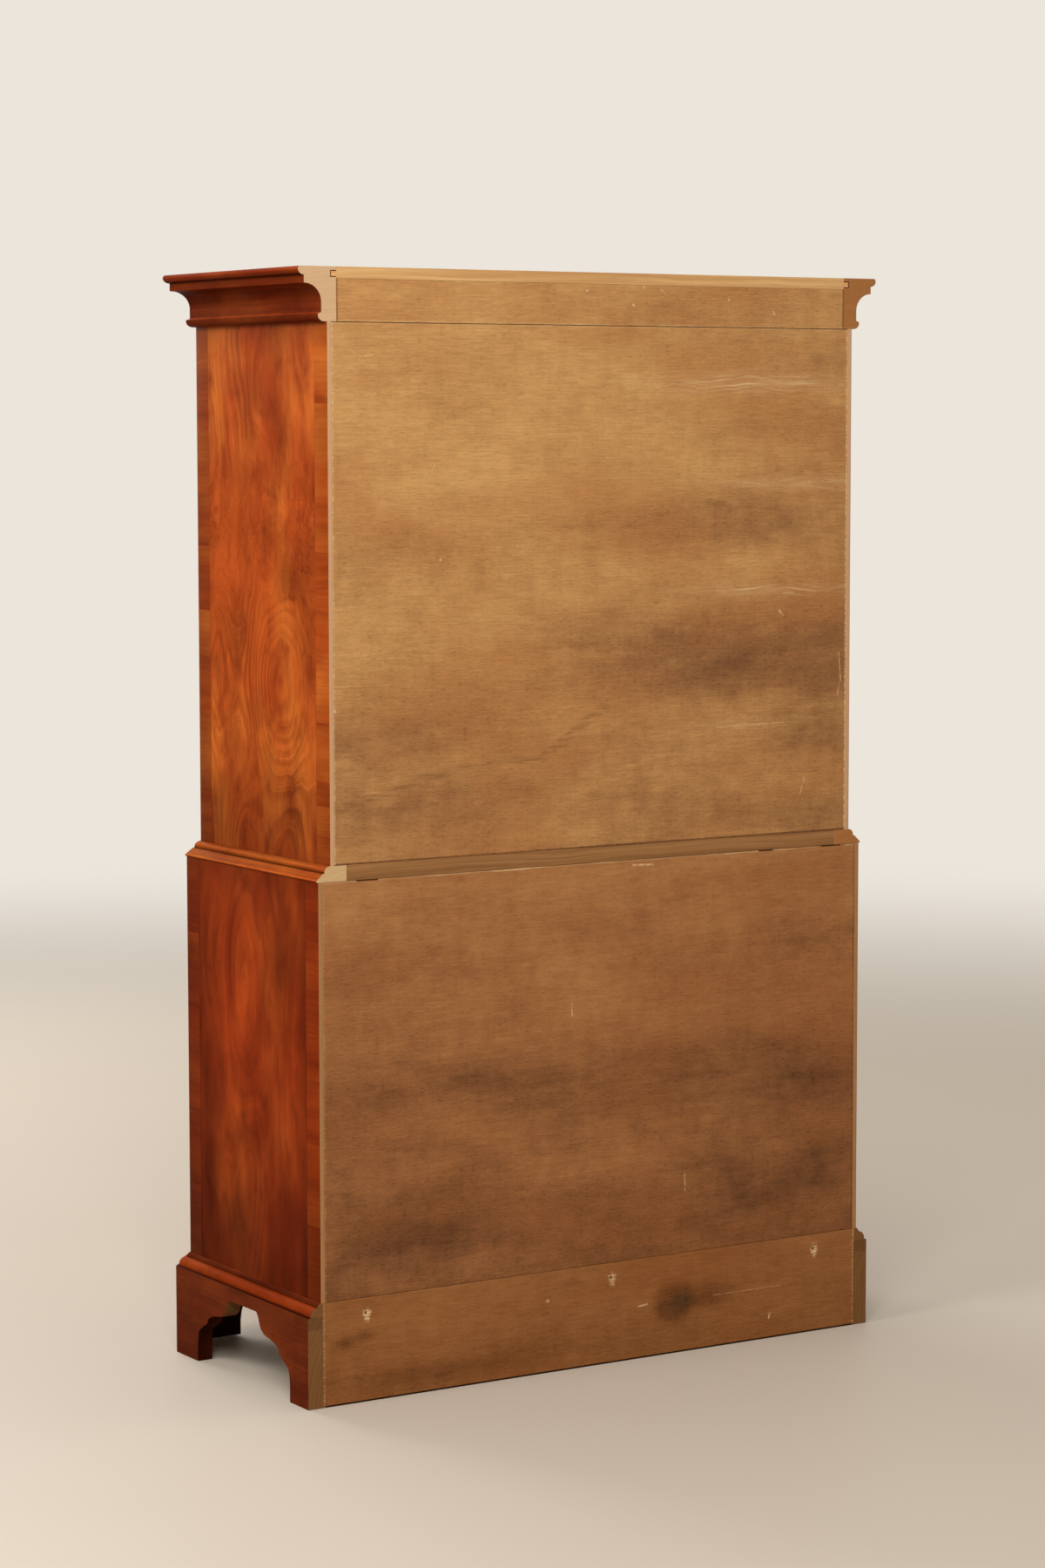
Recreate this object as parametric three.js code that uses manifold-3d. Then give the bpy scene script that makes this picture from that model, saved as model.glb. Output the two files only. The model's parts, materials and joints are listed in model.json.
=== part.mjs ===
// A chest on chest: two cases of drawers, the upper on the lower, on a bracket base and under a coved cornice.
// Millimetres, +Z up, and the drawers face -Y. The origin is on the floor under the middle of the whole chest.
// Most sizes in plan are "out" distances, measured outwards from the faces of the upper case.
import * as THREE from "three";
import { mergeVertices } from "three/addons/utils/BufferGeometryUtils.js";
import Module from "manifold-3d";

const wasm = await Module();
wasm.setup();

// Driving sizes of the two cases
const UPPER_WIDTH = 1018;
const UPPER_DEPTH = 478;
const UPPER_HEIGHT = 851;
const LOWER_HEIGHT = 672;
// The lower case stands out this far beyond the upper one at its front and sides
const CASE_STEP = 22;
// Length of each leg of the canted corner of the upper case
const CANT_LEG = 38;
const SIDE_THICKNESS = 19;
const BOARD_THICKNESS = 18;
const BACK_THICKNESS = 6;
// Width of a side's rear edge that shows beside the back panel
const BACK_MARGIN = 8.5;
// Flat part of the front face between the cant and the drawers
const STILE_WIDTH = 10;

// Bracket base, which stands out beyond the lower case
const PLINTH_HEIGHT = 148;
const PLINTH_OVERHANG = 23;
const PLINTH_THICKNESS = 27;
const PLINTH_BACK_THICKNESS = 20;
const ARCH_HEIGHT = 125;
const REAR_FOOT_WIDTH = 61.5;
const FRONT_FOOT_WIDTH = 78;
const BRACKET_REACH = 112.5;
// The front bracket board ends this far above the floor, between its canted ends
const FRONT_BOARD_LIFT = 4;

// Base frame under the lower case: from below, a square edge, a quarter round, a neck and a slope to the case
const BASE_LEDGE = 5;
const BASE_MEMBER = 55;
const BASE_EDGE = 3;
const BASE_ROUND = 12.5;
const BASE_NECK = 2.5;
const BASE_SLOPE = 4;
const BASE_SLOPE_LEDGE = 2;

// Waist frame between the two cases: from below, a bead, a cove, a fillet and a quarter round
const WAIST_OVERHANG = 2.5;
const WAIST_MEMBER = 54.5;
const WAIST_BEAD = 6;
const WAIST_COVE = 5.5;
const WAIST_FILLET = 1.5;
const WAIST_ROUND = 12;
const WAIST_STEP = 3;
const WAIST_RAIL_WIDTH = 45;

// Cornice and top: from above, a thumb moulding, a fillet, a cove, a neck and a sloping lower member
const CORNICE_HEIGHT = 85;
const CORNICE_OUT = 50;
const CORNICE_MEMBER = 67.3;
const THUMB_REACH = 10.4;
const THUMB_DROP = 13.6;
const THUMB_NOSE = 4.5;
const FILLET_DROP = 12.4;
const COVE_LIP = 1;
const COVE_DROP = 29;
const NECK_OUT = 9.3;
const LOW_MEMBER_HEIGHT = 14;
const LOW_MEMBER_OUT = 15.3;
const LOW_MEMBER_NOSE = 4.4;
const LOW_MEMBER_FOOT_OUT = 4.5;
const TOP_THICKNESS = 18.5;
const GROOVE_WIDTH = 10.5;
const GROOVE_HEIGHT = 11;
const GROOVE_DROP = 5.5;
const CORNICE_RAIL_THICKNESS = 20;

// Drawer rows of each case, from the bottom up, as shares of the height that the boards leave
const lowerRowShares = [0.37, 0.335, 0.295];
const upperRowShares = [0.295, 0.27, 0.235, 0.2];
const GUIDE_HEIGHT = 12;
const FRONT_THICKNESS = 20;
const FRONT_GAP = 1;
const BEAD_WIDTH = 3.2;
const BEAD_OUT = 2.5;
const DRAWER_WALL = 12;
const DRAWER_BOTTOM = 6;
const DRAWER_BOTTOM_RAISE = 6;
const DRAWER_HEADROOM = 8;
const DRAWER_SIDE_PLAY = 1;
const DRAWER_REAR_GAP = 14;

// Bail handles: a bent bar whose ends turn in two posts, each on a round rosette
const BAIL_SPAN = 76;
const BAIL_DROP = 38;
const BAIL_RADIUS = 2.75;
const BAIL_SHOULDER = 10;
const BAIL_PIN = 3.5;
const POST_REACH = 15;
const POST_HEAD_RADIUS = 5.8;
const POST_NECK_RADIUS = 4;
const ROSETTE_RADIUS = 11;
const ROSETTE_HEIGHT = 2.5;
const ROSETTE_RIM = 1.4;
// Places of the handles: shares of half an opening's width, and of an opening's height
const longBailShare = 0.575;
const bailHeightShare = 0.55;

// Flutes on the canted corner posts
const FLUTE_COUNT = 3;
const FLUTE_RADIUS = 4.5;
const FLUTE_PITCH = 13;
const FLUTE_STOP = 45;

// Clearances
const SEAT_GAP = 0.3;
const PANEL_GAP = 2.5;
const PIN_CLEARANCE = 0.35;
const OVERRUN = 10;

// Counts of facets
const ROUND_STEPS = 6;
const FLUTE_SIDES = 8;
const FLUTE_END_STEPS = 2;
const POST_SIDES = 8;
const HOLE_SIDES = 8;
const BAIL_SIDES = 6;
const BAIL_STEPS = 24;

// Outer faces of the two frames that follow the lower case
const PLINTH_OUT = CASE_STEP + PLINTH_OVERHANG;
const WAIST_OUT = CASE_STEP + WAIST_OVERHANG;

// Levels
const BASE_HEIGHT = BASE_EDGE + BASE_ROUND + BASE_NECK + BASE_SLOPE;
const WAIST_HEIGHT = WAIST_BEAD + WAIST_COVE + WAIST_FILLET + WAIST_ROUND;
const LOWER_Z = PLINTH_HEIGHT + BASE_HEIGHT;
const LOWER_TOP_Z = LOWER_Z + LOWER_HEIGHT;
const UPPER_Z = LOWER_TOP_Z + WAIST_HEIGHT;
const UPPER_TOP_Z = UPPER_Z + UPPER_HEIGHT;
const TOP_Z = UPPER_TOP_Z + CORNICE_HEIGHT;
const TOP_UNDER_Z = TOP_Z - TOP_THICKNESS;
const BACK_Y = (UPPER_DEPTH + Math.max(CORNICE_OUT, PLINTH_OUT)) / 2;

// Colours
const veneer = { color: 0xa4491c, roughness: 0.32, metalness: 0 };
const darkVeneer = { color: 0x8a3a1a, roughness: 0.32, metalness: 0 };
const plywood = { color: 0xb08048, roughness: 0.7, metalness: 0 };
const darkPlywood = { color: 0x93683c, roughness: 0.7, metalness: 0 };
const rawWood = { color: 0xc9a678, roughness: 0.75, metalness: 0 };
const drawerWood = { color: 0xd0b088, roughness: 0.65, metalness: 0 };
const brass = { color: 0xb08d3c, roughness: 0.3, metalness: 1 };

const chest = new THREE.Group();

function addPiece(name, geometry, finish) {
  const mesh = new THREE.Mesh(geometry, new THREE.MeshStandardMaterial(finish));
  mesh.name = name;
  chest.add(mesh);
}

// Solids: closed geometries and the cuts and joins between them

function toSolid(geometry) {
  const bare = geometry.index ? geometry.toNonIndexed() : geometry.clone();
  bare.deleteAttribute("normal");
  bare.deleteAttribute("uv");
  const merged = mergeVertices(bare);
  return new wasm.Manifold(
    new wasm.Mesh({
      numProp: 3,
      vertProperties: merged.attributes.position.array,
      triVerts: new Uint32Array(merged.index.array),
    }),
  );
}

function toGeometry(solid) {
  const { vertProperties, triVerts } = solid.getMesh();
  const geometry = new THREE.BufferGeometry();
  geometry.setAttribute("position", new THREE.BufferAttribute(new Float32Array(vertProperties), 3));
  geometry.setIndex(new THREE.BufferAttribute(new Uint32Array(triVerts), 1));
  geometry.computeVertexNormals();
  return geometry;
}

function cut(body, ...tools) {
  return toGeometry(tools.reduce((solid, tool) => solid.subtract(toSolid(tool)), toSolid(body)));
}

function join(body, ...others) {
  return toGeometry(others.reduce((solid, other) => solid.add(toSolid(other)), toSolid(body)));
}

function boxBetween(low, high) {
  const size = high.map((value, i) => value - low[i]);
  const middle = high.map((value, i) => (value + low[i]) / 2);
  return new THREE.BoxGeometry(...size).translate(...middle);
}

// A flat outline of [x, y] points, pushed up from one level to another
function plate(points, lowZ, highZ) {
  const shape = new THREE.Shape(points.map(([x, y]) => new THREE.Vector2(x, y)));
  return new THREE.ExtrudeGeometry(shape, { depth: highZ - lowZ, bevelEnabled: false }).translate(0, 0, lowZ);
}

// Points on part of an ellipse, with its ends given in quarter turns
function arc([middleU, middleV], [radiusU, radiusV], from, to) {
  return Array.from({ length: ROUND_STEPS + 1 }, (_, i) => {
    const angle = ((from + ((to - from) * i) / ROUND_STEPS) * Math.PI) / 2;
    return [middleU + radiusU * Math.cos(angle), middleV + radiusV * Math.sin(angle)];
  });
}

// Plan of the chest: six corners, from the left rear round the canted front to the right rear

const MITRE = Math.tan(Math.PI / 8);

function planCorners(out) {
  const sideX = UPPER_WIDTH / 2 + out;
  const sideY = BACK_Y - UPPER_DEPTH + CANT_LEG - out * MITRE;
  const frontX = UPPER_WIDTH / 2 - CANT_LEG + out * MITRE;
  const frontY = BACK_Y - UPPER_DEPTH - out;
  return [
    [-sideX, BACK_Y],
    [-sideX, sideY],
    [-frontX, frontY],
    [frontX, frontY],
    [sideX, sideY],
    [sideX, BACK_Y],
  ];
}

// A profile of [out, z] points, counterclockwise, carried round the plan from one corner to another.
// endGap draws a mitred end back along the side, so that two lengths don't share a face.
function moulding(profile, first = 0, last = 5, endGap = 0) {
  const corners = profile.map(([out]) => planCorners(out));
  const positions = [];
  for (let k = first; k <= last; k += 1) {
    const gap = (k === 1 && last === 1) || (k === 4 && first === 4) ? endGap : 0;
    profile.forEach(([, z], i) => positions.push(corners[i][k][0], corners[i][k][1] + gap, z));
  }
  const count = profile.length;
  const cap = THREE.ShapeUtils.triangulateShape(
    profile.map(([out, z]) => new THREE.Vector2(out, z)),
    [],
  );
  const farEnd = (last - first) * count;
  const faces = [];
  cap.forEach(([a, b, c]) => faces.push(a, b, c, farEnd + c, farEnd + b, farEnd + a));
  for (let k = 0; k < last - first; k += 1) {
    for (let i = 0; i < count; i += 1) {
      const next = (i + 1) % count;
      const here = k * count;
      const there = here + count;
      faces.push(here + next, here + i, there + i, here + next, there + i, there + next);
    }
  }
  const geometry = new THREE.BufferGeometry();
  geometry.setAttribute("position", new THREE.Float32BufferAttribute(positions, 3));
  geometry.setIndex(faces);
  return geometry;
}

function flatMember(innerOut, outerOut, lowZ, highZ) {
  return [
    [innerOut, lowZ],
    [outerOut, lowZ],
    [outerOut, highZ],
    [innerOut, highZ],
  ];
}

// Bracket base. One bracket is a foot's inner edge and the stepped ogee above it: each stretch is a curve
// through its own points, as shares of the bracket's reach and of the arch's height.

const bracketStretchShares = [
  [[0, 0], [0, 0.24]],
  [[0, 0.24], [0.04, 0.41], [0.15, 0.485], [0.3, 0.56]],
  [[0.3, 0.56], [0.35, 0.64]],
  [[0.35, 0.64], [0.5, 0.695], [0.76, 0.735]],
  [[0.76, 0.735], [0.88, 0.81], [0.94, 0.93], [1, 1]],
];

function bracketPoints(footEdge, direction) {
  return bracketStretchShares.flatMap((stretch, i) => {
    const knots = stretch.map(([reach, rise]) => new THREE.Vector2(reach, rise));
    const points = knots.length > 2 ? new THREE.SplineCurve(knots).getPoints(ROUND_STEPS) : knots;
    return points
      .slice(i === 0 ? 0 : 1)
      .map(({ x, y }) => [footEdge + direction * x * BRACKET_REACH, y * ARCH_HEIGHT]);
  });
}

// The arch between two feet, as a closed outline that starts below the floor
function archOutline(lowEdge, highEdge) {
  const rising = bracketPoints(lowEdge, 1);
  const falling = bracketPoints(highEdge, -1).reverse();
  return [[lowEdge, -OVERRUN], ...rising, ...falling, [highEdge, -OVERRUN]];
}

const plinthInnerOut = PLINTH_OUT - PLINTH_THICKNESS;
const plinthProfile = flatMember(plinthInnerOut, PLINTH_OUT, 0, PLINTH_HEIGHT);
const plinthOuter = planCorners(PLINTH_OUT);
const plinthInner = planCorners(plinthInnerOut);

function buildPlinth() {
  const sideArch = archOutline(plinthOuter[4][1] + FRONT_FOOT_WIDTH, BACK_Y - REAR_FOOT_WIDTH);
  // The outline lies in Y and Z, and is pushed along X
  const sideCutter = plate(sideArch, 0, PLINTH_THICKNESS + 2 * OVERRUN)
    .rotateX(Math.PI / 2)
    .rotateZ(Math.PI / 2);
  const rightCutter = sideCutter.clone().translate(plinthInner[4][0] - OVERRUN, 0, 0);
  const leftCutter = sideCutter.clone().translate(-plinthOuter[4][0] - OVERRUN, 0, 0);
  addPiece("plinth_left", cut(moulding(plinthProfile, 0, 1, SEAT_GAP), leftCutter), darkVeneer);
  addPiece("plinth_right", cut(moulding(plinthProfile, 4, 5, SEAT_GAP), rightCutter), darkVeneer);

  const frontEdge = plinthOuter[3][0] - FRONT_FOOT_WIDTH;
  // The outline lies in X and Z, and is pushed along Y
  const frontCutter = plate(archOutline(-frontEdge, frontEdge), 0, PLINTH_THICKNESS + 2 * OVERRUN)
    .rotateX(Math.PI / 2)
    .translate(0, plinthInner[3][1] + OVERRUN, 0);
  const liftCutter = boxBetween(
    [plinthInner[2][0], plinthOuter[3][1] - OVERRUN, -OVERRUN],
    [plinthInner[3][0], plinthInner[3][1] + OVERRUN, FRONT_BOARD_LIFT],
  );
  addPiece("plinth_front", cut(moulding(plinthProfile, 1, 4), frontCutter, liftCutter), darkVeneer);

  const backX = UPPER_WIDTH / 2 + plinthInnerOut - SEAT_GAP;
  addPiece(
    "plinth_back",
    boxBetween([-backX, BACK_Y - PLINTH_BACK_THICKNESS, 0], [backX, BACK_Y, LOWER_Z - SEAT_GAP]),
    darkPlywood,
  );

  const edgeOut = PLINTH_OUT - BASE_LEDGE;
  const profile = [
    [edgeOut - BASE_MEMBER, PLINTH_HEIGHT],
    [edgeOut, PLINTH_HEIGHT],
    ...arc([edgeOut - BASE_ROUND, PLINTH_HEIGHT + BASE_EDGE], [BASE_ROUND, BASE_ROUND], 0, 1),
    [edgeOut - BASE_ROUND, LOWER_Z - BASE_SLOPE],
    [CASE_STEP + BASE_SLOPE_LEDGE, LOWER_Z],
    [edgeOut - BASE_MEMBER, LOWER_Z],
  ];
  const backNotch = boxBetween(
    [-backX - SEAT_GAP, BACK_Y - PLINTH_BACK_THICKNESS - SEAT_GAP, PLINTH_HEIGHT - OVERRUN],
    [backX + SEAT_GAP, BACK_Y + OVERRUN, LOWER_Z + OVERRUN],
  );
  addPiece("base_frame", cut(moulding(profile), backNotch), veneer);
}

// Cases. A case is its two sides, two canted corner posts, a back panel and the boards that carry the drawers.

function caseSizes(out, lowZ, highZ, rowShares) {
  const corners = planCorners(out);
  const [frontX, frontY] = corners[3];
  const [sideX, postY] = corners[4];
  const free = highZ - lowZ - BOARD_THICKNESS * (rowShares.length + 1);
  const rows = [];
  let z = lowZ + BOARD_THICKNESS;
  rowShares.forEach((share) => {
    rows.push({ low: z, high: z + share * free });
    z += share * free + BOARD_THICKNESS;
  });
  return {
    sideX,
    innerX: sideX - SIDE_THICKNESS,
    frontX,
    openX: frontX - STILE_WIDTH,
    frontY,
    postY,
    panelX: sideX - BACK_MARGIN,
    panelY: BACK_Y - BACK_THICKNESS,
    lowZ,
    highZ,
    rows,
  };
}

const lower = caseSizes(CASE_STEP, LOWER_Z, LOWER_TOP_Z, lowerRowShares);
const upper = caseSizes(0, UPPER_Z, UPPER_TOP_Z, upperRowShares);

// The space that a back panel takes, grown by a gap on every side but its rear
function panelSpace(sizes, gap) {
  return boxBetween(
    [-sizes.panelX - gap, sizes.panelY - gap, sizes.lowZ + SEAT_GAP - gap],
    [sizes.panelX + gap, gap > 0 ? BACK_Y + OVERRUN : BACK_Y, sizes.highZ - PANEL_GAP + gap],
  );
}

function cornerPost(sizes) {
  const post = plate(
    [
      [sizes.sideX, sizes.postY],
      [sizes.openX, sizes.postY],
      [sizes.openX, sizes.frontY],
      [sizes.frontX, sizes.frontY],
    ],
    sizes.lowZ,
    sizes.highZ,
  );
  const fluteLength = sizes.highZ - sizes.lowZ - 2 * (FLUTE_STOP + FLUTE_RADIUS);
  const middle = new THREE.Vector2((sizes.sideX + sizes.frontX) / 2, (sizes.postY + sizes.frontY) / 2);
  const along = new THREE.Vector2(sizes.frontX - sizes.sideX, sizes.frontY - sizes.postY).normalize();
  const flutes = Array.from({ length: FLUTE_COUNT }, (_, i) => {
    const place = middle.clone().addScaledVector(along, (i - (FLUTE_COUNT - 1) / 2) * FLUTE_PITCH);
    return new THREE.CapsuleGeometry(FLUTE_RADIUS, fluteLength, FLUTE_END_STEPS, FLUTE_SIDES)
      .rotateX(Math.PI / 2)
      .rotateZ(Math.PI / FLUTE_SIDES)
      .translate(place.x, place.y, (sizes.lowZ + sizes.highZ) / 2);
  });
  return cut(post, ...flutes);
}

// A board across a case: as wide as the space between the sides, and drawn in between the posts at its front
function caseBoard(sizes, lowZ, rearY) {
  const outline = [
    [-sizes.innerX, rearY],
    [-sizes.innerX, sizes.postY],
    [-sizes.openX, sizes.postY],
    [-sizes.openX, sizes.frontY],
    [sizes.openX, sizes.frontY],
    [sizes.openX, sizes.postY],
    [sizes.innerX, sizes.postY],
    [sizes.innerX, rearY],
  ];
  return plate(outline, lowZ, lowZ + BOARD_THICKNESS);
}

// The two strips beside a row of drawers, standing on the board below it
function guides(sizes, boardTop) {
  const rearY = sizes.panelY - SEAT_GAP;
  return [-1, 1].map((side) => {
    const edges = [side * sizes.openX, side * sizes.innerX].sort((a, b) => a - b);
    return boxBetween(
      [edges[0], sizes.postY, boardTop - BOARD_THICKNESS / 2],
      [edges[1], rearY, boardTop + GUIDE_HEIGHT],
    );
  });
}

function buildCase(prefix, sizes, panelFinish) {
  const panelCutter = panelSpace(sizes, SEAT_GAP);
  const rightSide = cut(
    boxBetween([sizes.innerX, sizes.postY, sizes.lowZ], [sizes.sideX, BACK_Y, sizes.highZ]),
    panelCutter,
  );
  const leftSide = cut(
    boxBetween([-sizes.sideX, sizes.postY, sizes.lowZ], [-sizes.innerX, BACK_Y, sizes.highZ]),
    panelCutter,
  );
  addPiece(prefix + "_left_side", leftSide, veneer);
  addPiece(prefix + "_right_side", rightSide, veneer);

  const rightPost = cornerPost(sizes);
  const mirror = new THREE.Matrix4().makeScale(-1, 1, 1);
  const leftPost = rightPost.clone().applyMatrix4(mirror);
  const turned = leftPost.index.array;
  for (let i = 0; i < turned.length; i += 3) {
    [turned[i + 1], turned[i + 2]] = [turned[i + 2], turned[i + 1]];
  }
  addPiece(prefix + "_left_post", leftPost, darkVeneer);
  addPiece(prefix + "_right_post", rightPost, darkVeneer);

  addPiece(prefix + "_back", panelSpace(sizes, 0), panelFinish);
  const bottom = join(caseBoard(sizes, sizes.lowZ, BACK_Y), ...guides(sizes, sizes.rows[0].low));
  addPiece(prefix + "_bottom", cut(bottom, panelCutter), rawWood);
  sizes.rows.slice(1).forEach((row, i) => {
    const board = caseBoard(sizes, row.low - BOARD_THICKNESS, sizes.panelY - SEAT_GAP);
    addPiece(prefix + "_dust_board_" + (i + 1), join(board, ...guides(sizes, row.low)), rawWood);
  });
  addPiece(prefix + "_top", cut(caseBoard(sizes, sizes.highZ - BOARD_THICKNESS, BACK_Y), panelCutter), rawWood);
}

function buildWaist() {
  const roundLow = UPPER_Z - WAIST_ROUND;
  const stepZ = roundLow - WAIST_FILLET;
  const stepOut = WAIST_ROUND + WAIST_STEP;
  const coveReach = WAIST_OUT - WAIST_STEP - stepOut;
  const innerOut = WAIST_OUT - WAIST_MEMBER;
  const profile = [
    [innerOut, LOWER_TOP_Z],
    ...arc([WAIST_OUT - WAIST_STEP, LOWER_TOP_Z + WAIST_BEAD / 2], [WAIST_STEP, WAIST_BEAD / 2], -1, 1),
    ...arc([WAIST_OUT - WAIST_STEP, stepZ], [coveReach, WAIST_COVE], -1, -2).slice(1),
    [WAIST_ROUND, stepZ + WAIST_FILLET / 2],
    ...arc([0, roundLow], [WAIST_ROUND, WAIST_ROUND], 0, 1),
    [innerOut, UPPER_Z],
  ];
  addPiece("waist_frame", moulding(profile), veneer);
  const railX = UPPER_WIDTH / 2 + innerOut - SEAT_GAP;
  addPiece(
    "waist_back_rail",
    boxBetween([-railX, BACK_Y - WAIST_RAIL_WIDTH, LOWER_TOP_Z], [railX, BACK_Y, UPPER_Z]),
    darkPlywood,
  );
}

function buildCornice() {
  const innerOut = CORNICE_OUT - CORNICE_MEMBER;
  const filletOut = CORNICE_OUT - THUMB_REACH;
  const filletTop = TOP_Z - THUMB_DROP;
  const coveTop = filletTop - FILLET_DROP;
  const coveMiddle = [filletOut - COVE_LIP, coveTop - COVE_DROP];
  const neckLow = UPPER_TOP_Z + LOW_MEMBER_HEIGHT;
  const grooveTop = TOP_Z - GROOVE_DROP;
  const profile = [
    [innerOut, UPPER_TOP_Z],
    [LOW_MEMBER_FOOT_OUT, UPPER_TOP_Z],
    [LOW_MEMBER_OUT, neckLow - LOW_MEMBER_NOSE],
    [NECK_OUT, neckLow],
    ...arc(coveMiddle, [coveMiddle[0] - NECK_OUT, COVE_DROP], 2, 1),
    [filletOut, coveTop],
    ...arc([filletOut, TOP_Z - THUMB_NOSE], [THUMB_REACH, THUMB_DROP - THUMB_NOSE], -1, 0),
    ...arc([CORNICE_OUT - THUMB_NOSE, TOP_Z - THUMB_NOSE], [THUMB_NOSE, THUMB_NOSE], 0, 1).slice(1),
    [innerOut, TOP_Z],
    [innerOut, grooveTop],
    [innerOut + GROOVE_WIDTH, grooveTop],
    [innerOut + GROOVE_WIDTH, grooveTop - GROOVE_HEIGHT],
    [innerOut, grooveTop - GROOVE_HEIGHT],
  ];
  addPiece("cornice", moulding(profile), veneer);

  const boardOut = innerOut - SEAT_GAP;
  const tongueOut = innerOut + GROOVE_WIDTH - SEAT_GAP;
  const tongueLow = grooveTop - GROOVE_HEIGHT + SEAT_GAP;
  const topBoard = join(
    plate(planCorners(boardOut), TOP_UNDER_Z, TOP_Z),
    plate(planCorners(tongueOut), tongueLow, grooveTop - SEAT_GAP),
  );
  addPiece("top_board", topBoard, rawWood);
  const railX = UPPER_WIDTH / 2 + boardOut;
  addPiece(
    "cornice_back_rail",
    boxBetween([-railX, BACK_Y - CORNICE_RAIL_THICKNESS, UPPER_TOP_Z], [railX, BACK_Y, TOP_UNDER_Z - SEAT_GAP]),
    plywood,
  );
}

// Handles

// A rosette with its post, turned about an axis that runs forward from a drawer's face, and the hole for the bail
function handlePost([x, y, z]) {
  const profile = [
    [0, -ROSETTE_HEIGHT],
    [ROSETTE_RADIUS, -ROSETTE_HEIGHT],
    [ROSETTE_RADIUS, ROSETTE_RIM],
    [POST_NECK_RADIUS, ROSETTE_HEIGHT],
    [POST_NECK_RADIUS, POST_REACH - POST_HEAD_RADIUS],
    [POST_HEAD_RADIUS, POST_REACH - POST_NECK_RADIUS],
    [POST_HEAD_RADIUS, POST_REACH + POST_NECK_RADIUS],
    [0, POST_REACH + POST_HEAD_RADIUS],
  ].map(([radius, height]) => new THREE.Vector2(radius, height));
  const post = new THREE.LatheGeometry(profile, POST_SIDES)
    .rotateY(Math.PI / POST_SIDES)
    .rotateX(Math.PI)
    .translate(x, y, z);
  // The flats of the hole, not its corners, clear the pin
  const holeRadius = (BAIL_RADIUS + PIN_CLEARANCE) / Math.cos(Math.PI / HOLE_SIDES);
  const hole = new THREE.CylinderGeometry(holeRadius, holeRadius, 4 * POST_HEAD_RADIUS, HOLE_SIDES)
    .rotateZ(Math.PI / 2)
    .translate(x, y - POST_REACH, z);
  return cut(post, hole);
}

// The bail hangs below its pivot line: each half runs from its pin over a shoulder and in under the hand
const bailCurveShares = [
  [0.07, 1],
  [0.33, 1.2],
  [0.68, 0.5],
];
const bailFootShares = [0.93, 0.7];

function bail([x, y, z]) {
  const half = BAIL_SPAN / 2;
  const rightHalf = [
    [half - BAIL_PIN, 0],
    [half + POST_HEAD_RADIUS, 0],
    ...bailCurveShares.map(([drop, shoulder]) => [half + BAIL_SHOULDER * shoulder, -BAIL_DROP * drop]),
    [half * bailFootShares[1], -BAIL_DROP * bailFootShares[0]],
  ];
  const leftHalf = rightHalf.map(([u, v]) => [-u, v]).reverse();
  const knots = [...rightHalf, [0, -BAIL_DROP], ...leftHalf];
  const path = new THREE.CatmullRomCurve3(
    knots.map(([u, v]) => new THREE.Vector3(x + u, y - POST_REACH, z + v)),
    false,
    "centripetal",
  );
  const section = Array.from({ length: BAIL_SIDES }, (_, i) => {
    const angle = (i * 2 * Math.PI) / BAIL_SIDES;
    return new THREE.Vector2(BAIL_RADIUS * Math.cos(angle), BAIL_RADIUS * Math.sin(angle));
  });
  return new THREE.ExtrudeGeometry(new THREE.Shape(section), { steps: BAIL_STEPS, extrudePath: path });
}

// Drawers. An opening is the space between the boards, the posts and, for the short drawers, the divider.

function buildDrawer(name, sizes, row, [lowX, highX], bailXs) {
  const faceY = sizes.frontY;
  const front = {
    low: [lowX + FRONT_GAP, faceY - BEAD_OUT, row.low + FRONT_GAP],
    high: [highX - FRONT_GAP, faceY + FRONT_THICKNESS, row.high - FRONT_GAP],
  };
  const recess = boxBetween(
    [front.low[0] + BEAD_WIDTH, faceY - OVERRUN, front.low[2] + BEAD_WIDTH],
    [front.high[0] - BEAD_WIDTH, faceY, front.high[2] - BEAD_WIDTH],
  );
  const bailZ = row.low + (row.high - row.low) * bailHeightShare;
  const posts = bailXs.flatMap((x) => [-1, 1].map((side) => handlePost([x + (side * BAIL_SPAN) / 2, faceY, bailZ])));
  addPiece(name + "_front", join(cut(boxBetween(front.low, front.high), recess), ...posts), veneer);

  const boxLow = [lowX + FRONT_GAP + DRAWER_SIDE_PLAY, faceY + FRONT_THICKNESS, row.low + SEAT_GAP];
  const boxHigh = [
    highX - FRONT_GAP - DRAWER_SIDE_PLAY,
    sizes.panelY - DRAWER_REAR_GAP,
    row.high - DRAWER_HEADROOM,
  ];
  const innerLow = [boxLow[0] + DRAWER_WALL, boxLow[1] - OVERRUN];
  const innerHigh = [boxHigh[0] - DRAWER_WALL, boxHigh[1] - DRAWER_WALL];
  const bottomZ = boxLow[2] + DRAWER_BOTTOM_RAISE;
  const hollow = boxBetween([...innerLow, bottomZ + DRAWER_BOTTOM], [...innerHigh, boxHigh[2] + OVERRUN]);
  const underside = boxBetween([...innerLow, boxLow[2] - OVERRUN], [...innerHigh, bottomZ]);
  addPiece(name + "_box", cut(boxBetween(boxLow, boxHigh), hollow, underside), drawerWood);

  bailXs.forEach((x, i) => {
    const suffix = bailXs.length === 1 ? "_bail" : ["_left_bail", "_right_bail"][i];
    addPiece(name + suffix, bail([x, faceY, bailZ]), brass);
  });
}

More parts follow.
